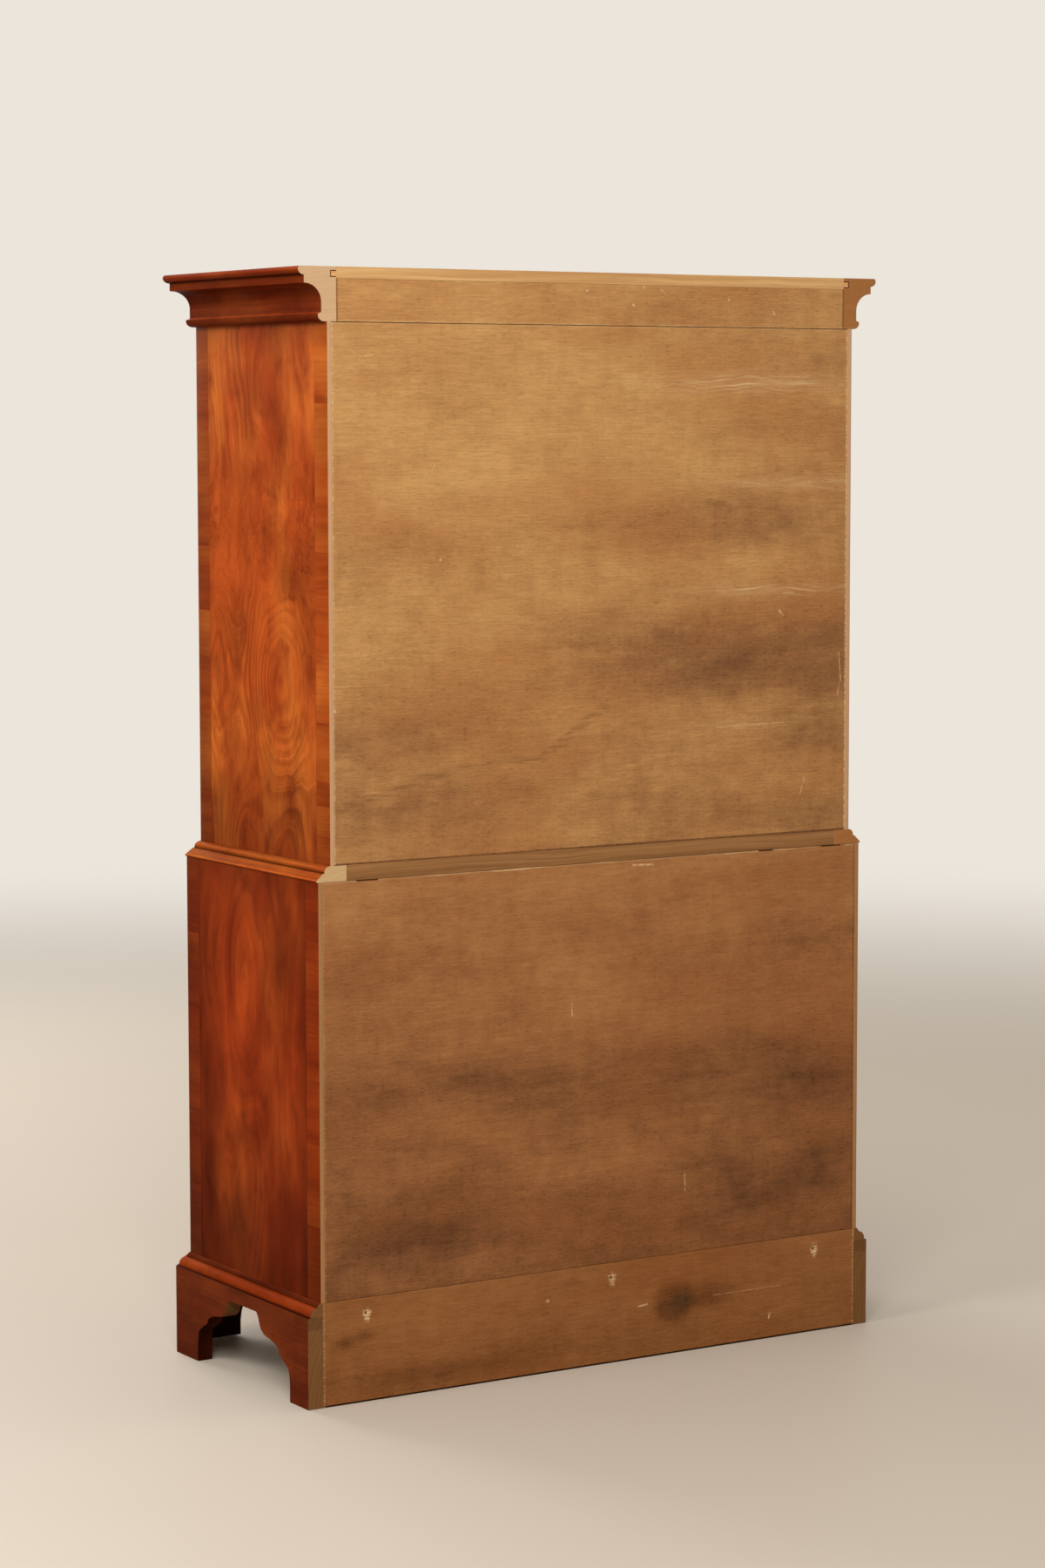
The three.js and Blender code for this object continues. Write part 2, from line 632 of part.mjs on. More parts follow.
function buildDrawers() {
  lower.rows.forEach((row, i) => {
    const bailX = lower.openX * longBailShare;
    buildDrawer("lower_drawer_" + (i + 1), lower, row, [-lower.openX, lower.openX], [-bailX, bailX]);
  });
  const shortRow = upper.rows.length - 1;
  upper.rows.slice(0, shortRow).forEach((row, i) => {
    const bailX = upper.openX * longBailShare;
    buildDrawer("upper_drawer_" + (i + 1), upper, row, [-upper.openX, upper.openX], [-bailX, bailX]);
  });
  const row = upper.rows[shortRow];
  const dividerX = BOARD_THICKNESS / 2;
  const middleX = (dividerX + upper.openX) / 2;
  addPiece(
    "upper_divider",
    boxBetween([-dividerX, upper.frontY, row.low], [dividerX, upper.panelY - SEAT_GAP, row.high]),
    rawWood,
  );
  buildDrawer("short_drawer_left", upper, row, [-upper.openX, -dividerX], [-middleX]);
  buildDrawer("short_drawer_right", upper, row, [dividerX, upper.openX], [middleX]);
}

buildPlinth();
buildCase("lower", lower, darkPlywood);
buildWaist();
buildCase("upper", upper, plywood);
buildCornice();
buildDrawers();

export default chest;
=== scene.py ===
"""A chest on chest: veneered cases, mouldings, plywood backs, drawers and brass.

Lengths are in metres. The drawers face -Y, and the origin is on the floor under the middle.
"""

import json
import logging
import math
from dataclasses import dataclass
from enum import Enum
from functools import reduce
from typing import Sequence

import bmesh
import bpy
import numpy as np
from mathutils import Matrix, Vector

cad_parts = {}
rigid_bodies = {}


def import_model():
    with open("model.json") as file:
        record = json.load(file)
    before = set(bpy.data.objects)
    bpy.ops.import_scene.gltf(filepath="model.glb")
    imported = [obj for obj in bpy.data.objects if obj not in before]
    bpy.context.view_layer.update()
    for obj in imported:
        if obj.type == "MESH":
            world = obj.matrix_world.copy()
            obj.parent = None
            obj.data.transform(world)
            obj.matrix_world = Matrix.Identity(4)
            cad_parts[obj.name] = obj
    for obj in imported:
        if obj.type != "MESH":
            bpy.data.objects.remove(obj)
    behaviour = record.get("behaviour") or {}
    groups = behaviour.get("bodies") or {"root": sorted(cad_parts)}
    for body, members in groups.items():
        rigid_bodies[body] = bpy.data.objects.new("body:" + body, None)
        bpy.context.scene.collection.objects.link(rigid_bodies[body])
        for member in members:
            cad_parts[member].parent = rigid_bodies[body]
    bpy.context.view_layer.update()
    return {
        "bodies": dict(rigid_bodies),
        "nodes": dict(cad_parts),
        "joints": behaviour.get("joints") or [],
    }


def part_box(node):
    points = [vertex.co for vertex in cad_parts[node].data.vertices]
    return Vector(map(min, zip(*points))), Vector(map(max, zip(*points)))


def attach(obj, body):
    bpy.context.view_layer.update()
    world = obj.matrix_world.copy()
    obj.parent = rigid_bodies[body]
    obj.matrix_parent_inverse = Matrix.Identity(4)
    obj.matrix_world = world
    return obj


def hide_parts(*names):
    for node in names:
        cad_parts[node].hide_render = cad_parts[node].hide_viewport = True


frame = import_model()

log = logging.getLogger("chest_on_chest")

Array = np.ndarray
Socket = bpy.types.NodeSocket
Material = bpy.types.Material
Piece = bpy.types.Object
Colour = tuple[float, float, float]
Pair = tuple[float, float]
Value = Socket | float | Sequence[float]

WELD = 1e-6
WELD_PHASE = 0.37
SHARP_ANGLE = math.radians(28)
LEAST_TURN = math.radians(20)
MITRE = math.tan(math.pi / 8)
FULL_TURN = 2 * math.pi
GRAIN = "grain"
TONE = "tone"
STAIN_AND_SHADE = "stain"
SCUFF = "scuff"
CARCASE = "carcase"
BOTH_ENDS = (0, -1)


def srgb(*shown: float) -> Colour:
    """Turns a display colour of 0 to 255 into the linear colour that a shader takes."""
    share = np.array(shown) / 255
    return tuple(np.where(share <= 0.04045, share / 12.92, ((share + 0.055) / 1.055) ** 2.4).tolist())


def rows(kind: type, *values: tuple) -> tuple:
    """Makes one entry of a kind from each row of values."""
    return tuple(kind(*row) for row in values)


def extent(node: str) -> tuple[Array, Array]:
    """Gives the lowest and highest corners of a node of the frame, as arrays."""
    low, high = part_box(node)
    return np.array(low), np.array(high)


# Surfaces


def cells_of(grid: Array) -> Array:
    """Takes a grid of rows and columns apart into cells.

    Args:
        grid: values of shape (rows, columns, k).

    Returns:
        The four corners of each cell, of shape (cells, 4, k).
    """
    corners = np.stack([grid[:-1, :-1], grid[1:, :-1], grid[1:, 1:], grid[:-1, 1:]], axis=2)
    return corners.reshape(-1, 4, grid.shape[-1])


def closed(loop: Array) -> Array:
    """Repeats a loop's first point at its end."""
    return np.concatenate([loop, loop[:1]])


def unit(vector: Array) -> Array:
    """Gives the vector of length one in the same direction."""
    return vector / np.linalg.norm(vector)


def girth_of(ring: Array) -> Array:
    """Gives the distance along a ring of points from its first one, as the sum of the steps."""
    return np.concatenate([[0], np.linalg.norm(np.diff(ring, axis=0), axis=1).cumsum()])


def over(plan: Array, height: Array) -> Array:
    """Puts a height, of a shape that fits the plan's, beside each point of a plan."""
    return np.concatenate([plan, np.broadcast_to(height, plan.shape[:-1])[..., None]], axis=-1)


def round_turn(sides: int) -> Array:
    """Gives the angles of a full turn in even steps, whose last is the first again."""
    return np.append(np.linspace(0, FULL_TURN, sides + 1)[:-1], 0)


def tube(outline: Array, levels: Sequence[float], axes: Sequence[int] = (0, 1, 2)) -> Array:
    """Carries a closed outline through levels.

    Args:
        outline: points of shape (n, 2).
        levels: stations along the push.
        axes: the axes of the outline's two coordinates and of the push.

    Returns:
        A grid of shape (levels, n + 1, 3).
    """
    grid = np.empty((len(levels), len(outline) + 1, 3))
    grid[..., list(axes[:2])] = closed(outline)
    grid[..., axes[2]] = np.asarray(levels)[:, None]
    return grid


def plank_grain(corners: Array, along: int) -> tuple[Array, Array]:
    """Lays straight grain on cells: u follows the fibres and v crosses them, and an end takes its own axes.

    A cell faces the axis with the largest part of the cross product of its diagonals.

    Args:
        corners: cell corners, of shape (cells, 4, 3).
        along: the axis of the fibres.

    Returns:
        The grain coordinates of shape (cells, 4, 2), and a mask of the end faces.
    """
    facing = np.abs(np.cross(corners[:, 2] - corners[:, 0], corners[:, 3] - corners[:, 1])).argmax(axis=-1)
    is_end = facing == along
    first = np.where(is_end, (along + 1) % 3, along)
    second = np.where(is_end, (along + 2) % 3, 3 - along - facing)
    pick = np.stack([first, second], axis=-1)[:, None, :].repeat(4, axis=1)
    return np.take_along_axis(corners, pick, axis=2), is_end


def rounded_lines(low: float, high: float, reach: float, inner: Sequence[float]) -> Array:
    """Gives the stations across a box: three over each rounded arris, and the inner lines between them."""
    turn = reach * np.array([0.0, 0.42, 1.0])
    inside = np.array([value for value in inner if low + 2 * reach < value < high - 2 * reach])
    return np.unique(np.concatenate([low + turn, inside, high - turn]).round(7))


def box_cells(low: Array, high: Array, reach: float,
              inner: Sequence[Sequence[float]] = ((), (), ())) -> Array:
    """Works out a box with rounded arrises: each point is pulled to the rounding radius from the box's core.

    Args:
        low: lowest corner.
        high: highest corner.
        reach: radius of the arrises.
        inner: stations of extra lines along X, Y and Z.

    Returns:
        Cell corners of the six sides, of shape (cells, 4, 3).
    """
    low, high = np.asarray(low, float), np.asarray(high, float)
    lines = [rounded_lines(low[k], high[k], reach, inner[k]) for k in range(3)]
    sides = []
    for normal in range(3):
        a, b = (normal + 1) % 3, (normal + 2) % 3
        for level in (low[normal], high[normal]):
            grid = np.full((len(lines[a]), len(lines[b]), 3), level)
            grid[..., a] = lines[a][:, None]
            grid[..., b] = lines[b][None, :]
            sides.append(cells_of(grid))
    corners = np.concatenate(sides)
    core = np.clip(corners, low + reach, high - reach)
    away = corners - core
    return core + reach * away / np.linalg.norm(away, axis=-1, keepdims=True)


def soften(outline: Array, reach: float) -> Array:
    """Rounds the sharper corners of a closed outline into parabolas between points cut back along its edges.

    Args:
        outline: points of shape (n, 2).
        reach: how far the arc starts from the corner, at most.

    Returns:
        The softened outline.
    """
    sides = np.roll(outline, 1, axis=0) - outline, np.roll(outline, -1, axis=0) - outline
    lengths = [np.linalg.norm(side, axis=1) for side in sides]
    cosine = (sides[0] * sides[1]).sum(axis=1) / (lengths[0] * lengths[1])
    turn = math.pi - np.arccos(np.clip(cosine, -1, 1))
    cut = np.minimum(reach, 0.4 * np.minimum(*lengths)) * (turn > LEAST_TURN)
    start, end = (outline + side * (cut / length)[:, None] for side, length in zip(sides, lengths))
    t = np.linspace(0, 1, 4)[None, :, None]
    curve = (1 - t) ** 2 * start[:, None] + 2 * t * (1 - t) * outline[:, None] + t**2 * end[:, None]
    points = curve.reshape(-1, 2)
    return points[np.linalg.norm(points - np.roll(points, 1, axis=0), axis=1) > 10 * WELD]


def arc(middle: Pair, radii: Pair, start: float, stop: float, steps: int = 14) -> Array:
    """Gives points on part of an ellipse, with its ends in quarter turns."""
    angle = np.linspace(start, stop, steps + 1) * math.pi / 2
    return np.stack([middle[0] + radii[0] * np.cos(angle), middle[1] + radii[1] * np.sin(angle)], axis=-1)


def smooth_through(knots: Array, steps: int) -> Array:
    """Runs a curve through knots: a cubic in each gap, whose slopes come from the knots on both sides.

    Args:
        knots: points of shape (n, k).
        steps: points in each gap.

    Returns:
        Points on the curve, the last knot included.
    """
    padded = np.concatenate([2 * knots[:1] - knots[1:2], knots, 2 * knots[-1:] - knots[-2:-1]])
    a, b, c, d = padded[:-3, None], padded[1:-2, None], padded[2:-1, None], padded[3:, None]
    t = np.linspace(0, 1, steps, endpoint=False)[None, :, None]
    curve = b + 0.5 * t * (c - a + t * (2 * a - 5 * b + 4 * c - d + t * (3 * (b - c) + d - a)))
    return np.concatenate([curve.reshape(-1, knots.shape[1]), knots[-1:]])


def stand(name: str, data: bpy.types.ID) -> Piece:
    """Puts a new object with its data in the scene."""
    item = bpy.data.objects.new(name, data)
    bpy.context.scene.collection.objects.link(item)
    return item


class Skin:
    """Cells and caps with their grain, tone and finish, welded into one mesh object."""

    def __init__(self) -> None:
        """Starts with no cells."""
        self.corners: list[Array] = [np.zeros((0, 4, 3))]
        self.grain: list[Array] = [np.zeros((0, 4, 2))]
        self.tone: list[Array] = [np.zeros(0)]
        self.finish: list[Array] = [np.zeros(0, int)]
        self.caps: list[tuple[Array, Array, float, int]] = []

    def add(self, corners: Array, grain: Array, tone: Array | float = 0.0, finish: Array | int = 0) -> None:
        """Adds cells.

        Args:
            corners: cell corners, of shape (cells, 4, 3).
            grain: grain coordinates, of shape (cells, 4, 2).
            tone: lighter or darker share of each cell.
            finish: index of each cell's material.
        """
        self.corners.append(corners)
        self.grain.append(grain)
        self.tone.append(np.broadcast_to(tone, len(corners)))
        self.finish.append(np.broadcast_to(finish, len(corners)))

    def cap(self, loop: Array, grain: Array | Sequence[int], tone: float = 0.0, finish: int = 0) -> None:
        """Adds one flat face of any number of corners, whose grain is given or is two of its own axes."""
        laid = grain if isinstance(grain, np.ndarray) else loop[:, list(grain)]
        self.caps.append((loop, laid, tone, finish))

    def wrap(self, grid: Array, axes: Sequence[int] = (0, 2), tone: Array | float = 0.0,
             finish: int = 0) -> None:
        """Adds a grid whose grain coordinates are two of its own axes."""
        self.add(cells_of(grid), cells_of(grid[..., list(axes)]), tone, finish)

    def close(self, grid: Array, axes: Sequence[int] = (0, 2), tone: float = 0.0, finish: int = 0) -> None:
        """Caps both ends of a tube."""
        for end in BOTH_ENDS:
            self.cap(grid[end, :-1], axes, tone, finish)

    def plank(self, corners: Array, along: int, shift: Pair = (0, 0), tone: float = 0.0,
              finishes: tuple[int, int] = (0, 1)) -> None:
        """Adds cells with straight grain, and another finish on the ends.

        Args:
            corners: cell corners, of shape (cells, 4, 3).
            along: the axis of the fibres.
            shift: where on the log the piece was cut, so that no two look alike.
            tone: lighter or darker share.
            finishes: material indices of the long faces and of the ends.
        """
        grain, is_end = plank_grain(corners, along)
        self.add(corners, grain + np.asarray(shift), tone, np.where(is_end, finishes[1], finishes[0]))

    def prism(self, outline: Array, levels: Sequence[float], axes: Sequence[int], along: int, shift: Pair,
              finishes: tuple[int, int]) -> Array:
        """Pushes a closed outline through levels, with straight grain across the push, and closes both ends.

        Args:
            outline: points of shape (n, 2).
            levels: stations along the push.
            axes: the axes of the outline's two coordinates and of the push.
            along: the axis of the fibres.
            shift: where on the log the piece was cut.
            finishes: material indices of the long faces and of the ends.

        Returns:
            The corners of the cells round the outline.
        """
        grid = tube(outline, levels, axes)
        corners = cells_of(grid)
        self.plank(corners, along, shift, 0.0, finishes)
        pair = [along, *(axis for axis in range(3) if axis not in (along, axes[2]))]
        for end in BOTH_ENDS:
            self.cap(grid[end, :-1], grid[end, :-1][:, pair] + np.asarray(shift), 0.0, finishes[0])
        return corners

    def build(self, name: str, finishes: Sequence[Material], arris: float = 0.0) -> Piece:
        """Welds the cells into a mesh whose faces point outwards.

        Args:
            name: the object's name.
            finishes: materials, in the order of the cells' indices.
            arris: width of a bevel on the sharp edges, or zero.

        Returns:
            The object, at the origin.
        """
        corners = np.concatenate(self.corners)
        points = np.concatenate([corners.reshape(-1, 3), *(loop for loop, *_ in self.caps)])
        keys = np.floor(points / WELD + WELD_PHASE).astype(np.int64)
        _, first, index = np.unique(keys, axis=0, return_index=True, return_inverse=True)
        counts = [4 * len(corners), *(len(cap[0]) for cap in self.caps)]
        loops = np.split(index.reshape(-1), np.cumsum(counts)[:-1])
        quads = loops[0].reshape(-1, 4)
        distinct = quads != np.roll(quads, -1, axis=1)
        whole = distinct.sum(axis=1) > 2
        faces = [quad[keep] for quad, keep in zip(quads[whole], distinct[whole])] + loops[1:]
        grain = [np.concatenate(self.grain)[whole][distinct[whole]], *(cap[1] for cap in self.caps)]
        tone = np.append(np.concatenate(self.tone)[whole], [cap[2] for cap in self.caps])
        finish = np.append(np.concatenate(self.finish)[whole], [cap[3] for cap in self.caps])
        mesh = bpy.data.meshes.new(name)
        mesh.from_pydata(points[first], [], faces)
        layer = mesh.uv_layers.new(name=GRAIN)
        layer.uv.foreach_set("vector", np.concatenate(grain).astype(np.float32).ravel())
        write(mesh, TONE, tone, "FACE")
        mesh.polygons.foreach_set("material_index", finish.astype(np.int32))
        for material in finishes:
            mesh.materials.append(material)
        self._turn_out(mesh)
        mesh.polygons.foreach_set("use_smooth", np.ones(len(mesh.polygons), bool))
        piece = stand(name, mesh)
        if arris > 0:
            bevel = piece.modifiers.new("arris", "BEVEL")
            bevel.width = arris
            bevel.segments = 2
            bevel.limit_method = "ANGLE"
            bevel.angle_limit = SHARP_ANGLE
            bevel.harden_normals = True
        else:
            mesh.set_sharp_from_angle(angle=SHARP_ANGLE)
        return piece

    @staticmethod
    def _turn_out(mesh: bpy.types.Mesh) -> None:
        """Merges the doubles of a mesh, recalculates its normals, and reports any edge that is left open.

        Args:
            mesh: the mesh, which is changed in place.
        """
        shape = bmesh.new()
        shape.from_mesh(mesh)
        bmesh.ops.remove_doubles(shape, verts=shape.verts, dist=WELD)
        bmesh.ops.recalc_face_normals(shape, faces=shape.faces)
        loose = sum(not edge.is_manifold for edge in shape.edges)
        if loose:
            log.warning("%s has %d open edges", mesh.name, loose)
        shape.to_mesh(mesh)
        shape.free()


def write(mesh: bpy.types.Mesh, name: str, values: Array, domain: str = "POINT") -> None:
    """Stores a number for each vertex or face of a mesh."""
    mesh.attributes.new(name, "FLOAT", domain).data.foreach_set("value", values.astype(np.float32))


def place(piece: Piece, body: str, slot: str, *nodes: str) -> None:
    """Lets a piece ride on its body, and hides the nodes that it stands for.

    Args:
        piece: the finished object.
        body: the body that it moves with.
        slot: its material slot in the record; not used.
        nodes: the frame's nodes that it replaces.
    """
    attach(piece, body)
    if nodes:
        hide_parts(*nodes)
    log.info("%s: %d faces on %s", piece.name, len(piece.data.polygons), body)


# Finishes


class Nodes:
    """The nodes of a material or of the world, with short calls for those that the chest uses."""

    def __init__(self, owner: Material | bpy.types.World) -> None:
        """Clears the owner's node tree."""
        owner.use_nodes = True
        self.tree = owner.node_tree
        self.tree.nodes.clear()

    def node(self, kind: str, *values: Value, **settings: object) -> bpy.types.Node:
        """Adds a node.

        Args:
            kind: the node's type, without Blender's prefix.
            values: sockets to link or plain values, for its inputs in order.
            settings: its own properties.

        Returns:
            The node.
        """
        node = self.tree.nodes.new(f"ShaderNode{kind}")
        for name, setting in settings.items():
            setattr(node, name, setting)
        for target, value in zip(node.inputs, values):
            self.put(target, value)
        return node

    def put(self, target: Socket, value: Value) -> None:
        """Links a socket to an input, or writes a plain value or a display colour there.

        Args:
            target: the input.
            value: what it takes.
        """
        if isinstance(value, Socket):
            self.tree.links.new(value, target)
        else:
            target.default_value = (*srgb(*value), 1) if target.type == "RGBA" else value

    def calc(self, operation: str, *values: Value, clamp: bool = False) -> Socket:
        """Adds a Math node."""
        return self.node("Math", *values, operation=operation, use_clamp=clamp).outputs[0]

    def add(self, *values: Value) -> Socket:
        """Adds up values."""
        return reduce(lambda total, value: self.calc("ADD", total, value), values)

    def times(self, *values: Value) -> Socket:
        """Multiplies values."""
        return reduce(lambda total, value: self.calc("MULTIPLY", total, value), values)

    def line(self, value: Value, slope: Value, start: Value, clamp: bool = False) -> Socket:
        """Multiplies a value by a slope and adds a start."""
        return self.calc("MULTIPLY_ADD", value, slope, start, clamp=clamp)

    def swing(self, value: Socket, width: float) -> Socket:
        """Turns a noise of 0 to 1 into a swing of that width round zero."""
        return self.line(value, width, -width / 2)

    def offset(self, value: Socket, middle: float, reach: float) -> Socket:
        """Gives the distance from a middle, in reaches."""
        return self.times(self.add(value, -middle), 1 / reach)

    def bell(self, *offsets: Socket) -> Socket:
        """Gives a bell curve: e to the minus sum of the squares of the offsets."""
        return self.calc("EXPONENT", self.times(self.add(*(self.times(way, way) for way in offsets)), -1.0))

    def band(self, value: Value, low: float, high: float, least: float = 0.0, most: float = 1.0) -> Socket:
        """Maps a value from one range to another with soft, clamped ends."""
        ends = low, high, least, most
        return self.node("MapRange", value, *ends, interpolation_type="SMOOTHSTEP").outputs[0]

    def point(self, x: Value, y: Value, z: Value = 0.0) -> Socket:
        """Combines three values into a point."""
        return self.node("CombineXYZ", x, y, z).outputs[0]

    def vector(self, operation: str, first: Value, second: Value) -> bpy.types.Node:
        """Adds a Vector Math node of two vectors."""
        return self.node("VectorMath", first, second, operation=operation)

    def scale(self, value: Socket, factor: Value) -> Socket:
        """Scales a colour or a vector."""
        node = self.node("VectorMath", value, operation="SCALE")
        self.put(node.inputs["Scale"], factor)
        return node.outputs[0]

    def apart(self, source: Socket) -> tuple[Socket, ...]:
        """Takes a vector apart into its three values."""
        return tuple(self.node("SeparateXYZ", source).outputs)

    def noise(self, u: Value, v: Value, stretch: Pair, seed: float, detail: float = 2.0,
              roughness: float = 0.5) -> Socket:
        """Adds a noise that is finer along one coordinate than along the other.

        Args:
            u: first coordinate.
            v: second coordinate.
            stretch: waves per metre along both coordinates.
            seed: third coordinate, which sets one noise apart from another.
            detail: octaves.
            roughness: share that each octave keeps.

        Returns:
            The noise, of 0 to 1.
        """
        spot = self.point(self.times(u, stretch[0]), self.times(v, stretch[1]), seed)
        node = self.node("TexNoise")
        for name, value in (("Vector", spot), ("Scale", 1.0), ("Detail", detail), ("Roughness", roughness)):
            self.put(node.inputs[name], value)
        return node.outputs[0]

    def ramp(self, factor: Socket, *stops: tuple[float, Colour]) -> Socket:
        """Adds a colour ramp.

        Args:
            factor: where on the ramp to read.
            stops: position and display colour of each stop.

        Returns:
            The colour.
        """
        node = self.node("ValToRGB", factor)
        elements = node.color_ramp.elements
        while len(elements) < len(stops):
            elements.new(0.5)
        for element, (position, colour) in zip(elements, stops):
            element.position = position
            element.color = (*srgb(*colour), 1)
        return node.outputs[0]

    def blend(self, factor: Value, first: Value, second: Value) -> Socket:
        """Mixes two colours.

        Args:
            factor: the second colour's share.
            first: a colour.
            second: the other colour.

        Returns:
            The mixed colour.
        """
        node = self.node("Mix", data_type="RGBA")
        colours = [socket for socket in node.inputs if socket.type == "RGBA"]
        for target, value in zip((node.inputs["Factor"], *colours), (factor, first, second)):
            self.put(target, value)
        return next(socket for socket in node.outputs if socket.type == "RGBA")


class Sheet(Nodes):
    """One material's node sheet round its shader."""

    def __init__(self, name: str) -> None:
        """Starts a material that holds only its shader and output.

        Args:
            name: the material's name.
        """
        self.material = bpy.data.materials.new(name)
        super().__init__(self.material)
        self.shader = self.node("BsdfPrincipled")
        self.output = self.node("OutputMaterial", self.shader.outputs[0])

    def grain(self) -> tuple[Socket, Socket]:
        """Reads the piece's grain coordinates: metres along the fibres and across them."""
        return self.apart(self.node("UVMap", uv_map=GRAIN).outputs[0])[:2]

    def object_point(self) -> tuple[Socket, ...]:
        """Reads the object coordinates, apart."""
        return self.apart(self.node("TexCoord").outputs["Object"])

    def attribute(self, name: str) -> Socket:
        """Reads a number that the mesh carries."""
        return self.node("Attribute", attribute_name=name).outputs["Fac"]

    def tone(self) -> Socket:
        """Reads the lighter or darker share of a face, as a factor."""
        return self.add(self.attribute(TONE), 1.0)

    def stroke(self, u: Value, v: Value, mark: "Mark") -> Socket:
        """Draws a thin line: the distance to the nearest point of a segment, turned into a soft mask.

        Args:
            u: first coordinate of the pattern.
            v: second coordinate.
            mark: the line.

        Returns:
            One on the line and zero away from it.
        """
        run = (mark.stop_u - mark.start_u, mark.stop_v - mark.start_v, 0.0)
        square = run[0] ** 2 + run[1] ** 2
        away = self.vector("SUBTRACT", self.point(u, v), (mark.start_u, mark.start_v, 0.0)).outputs[0]
        along = self.vector("DOT_PRODUCT", away, run).outputs["Value"]
        nearest = self.scale(self.point(*run), self.calc("MULTIPLY", along, 1 / square, clamp=True))
        distance = self.vector("DISTANCE", away, nearest).outputs["Value"]
        return self.band(distance, 0.4 * mark.width, 1.6 * mark.width, 1.0, 0.0)

    def bump(self, height: Socket, distance: float) -> None:
        """Presses a height into the shader's normal.

        Args:
            height: the height, of 0 to 1.
            distance: what a height of 1 stands for.
        """
        node = self.node("Bump")
        self.put(node.inputs["Distance"], distance)
        self.put(node.inputs["Height"], height)
        self.put(self.shader.inputs["Normal"], node.outputs[0])

    def finish(self, colour: Value, roughness: Value, specular: float = 0.5,
               metallic: float = 0.0) -> Material:
        """Sets the shader's colour, roughness, specular level and metallic share.

        Args:
            colour: its base colour.
            roughness: its roughness.
            specular: its specular level.
            metallic: its metallic share.

        Returns:
            The finished material.
        """
        names = ("Base Color", "Roughness", "Specular IOR Level", "Metallic")
        for name, value in zip(names, (colour, roughness, specular, metallic)):
            self.put(self.shader.inputs[name], value)
        return self.material


@dataclass(frozen=True)
class Eye:
    """A swelling of so many rings in the log, which a sawn face shows as nested ovals, or a dark knot.

    A knot's rings are the share of light that it takes.
    """

    along: float
    across: float
    long: float
    wide: float
    rings: float

    def bell(self, sheet: Sheet, u: Socket, v: Socket) -> Socket:
        """Gives a bell curve round the eye."""
        return sheet.bell(sheet.offset(u, self.along, self.long), sheet.offset(v, self.across, self.wide))


@dataclass(frozen=True)
class Burl:
    """A belt across the sheet where the rings break up into curls and knots."""

    along: float
    long: float
    rings: float


@dataclass(frozen=True)
class Shade:
    """Darker colour that spreads from an edge of a case's side, downwards where its reach is negative.

    Near the bottom and top edges it is painted shade, for light that falls off downwards and under the
    moulding above; along the front and rear edges and at the rear band's joint it darkens the veneer.
    """

    axis: int
    edge: float
    reach: float
    depth: float


@dataclass(frozen=True)
class Mark:
    """A scratch or a streak from one point of a surface to another, with half its width."""

    start_u: float
    start_v: float
    stop_u: float
    stop_v: float
    width: float


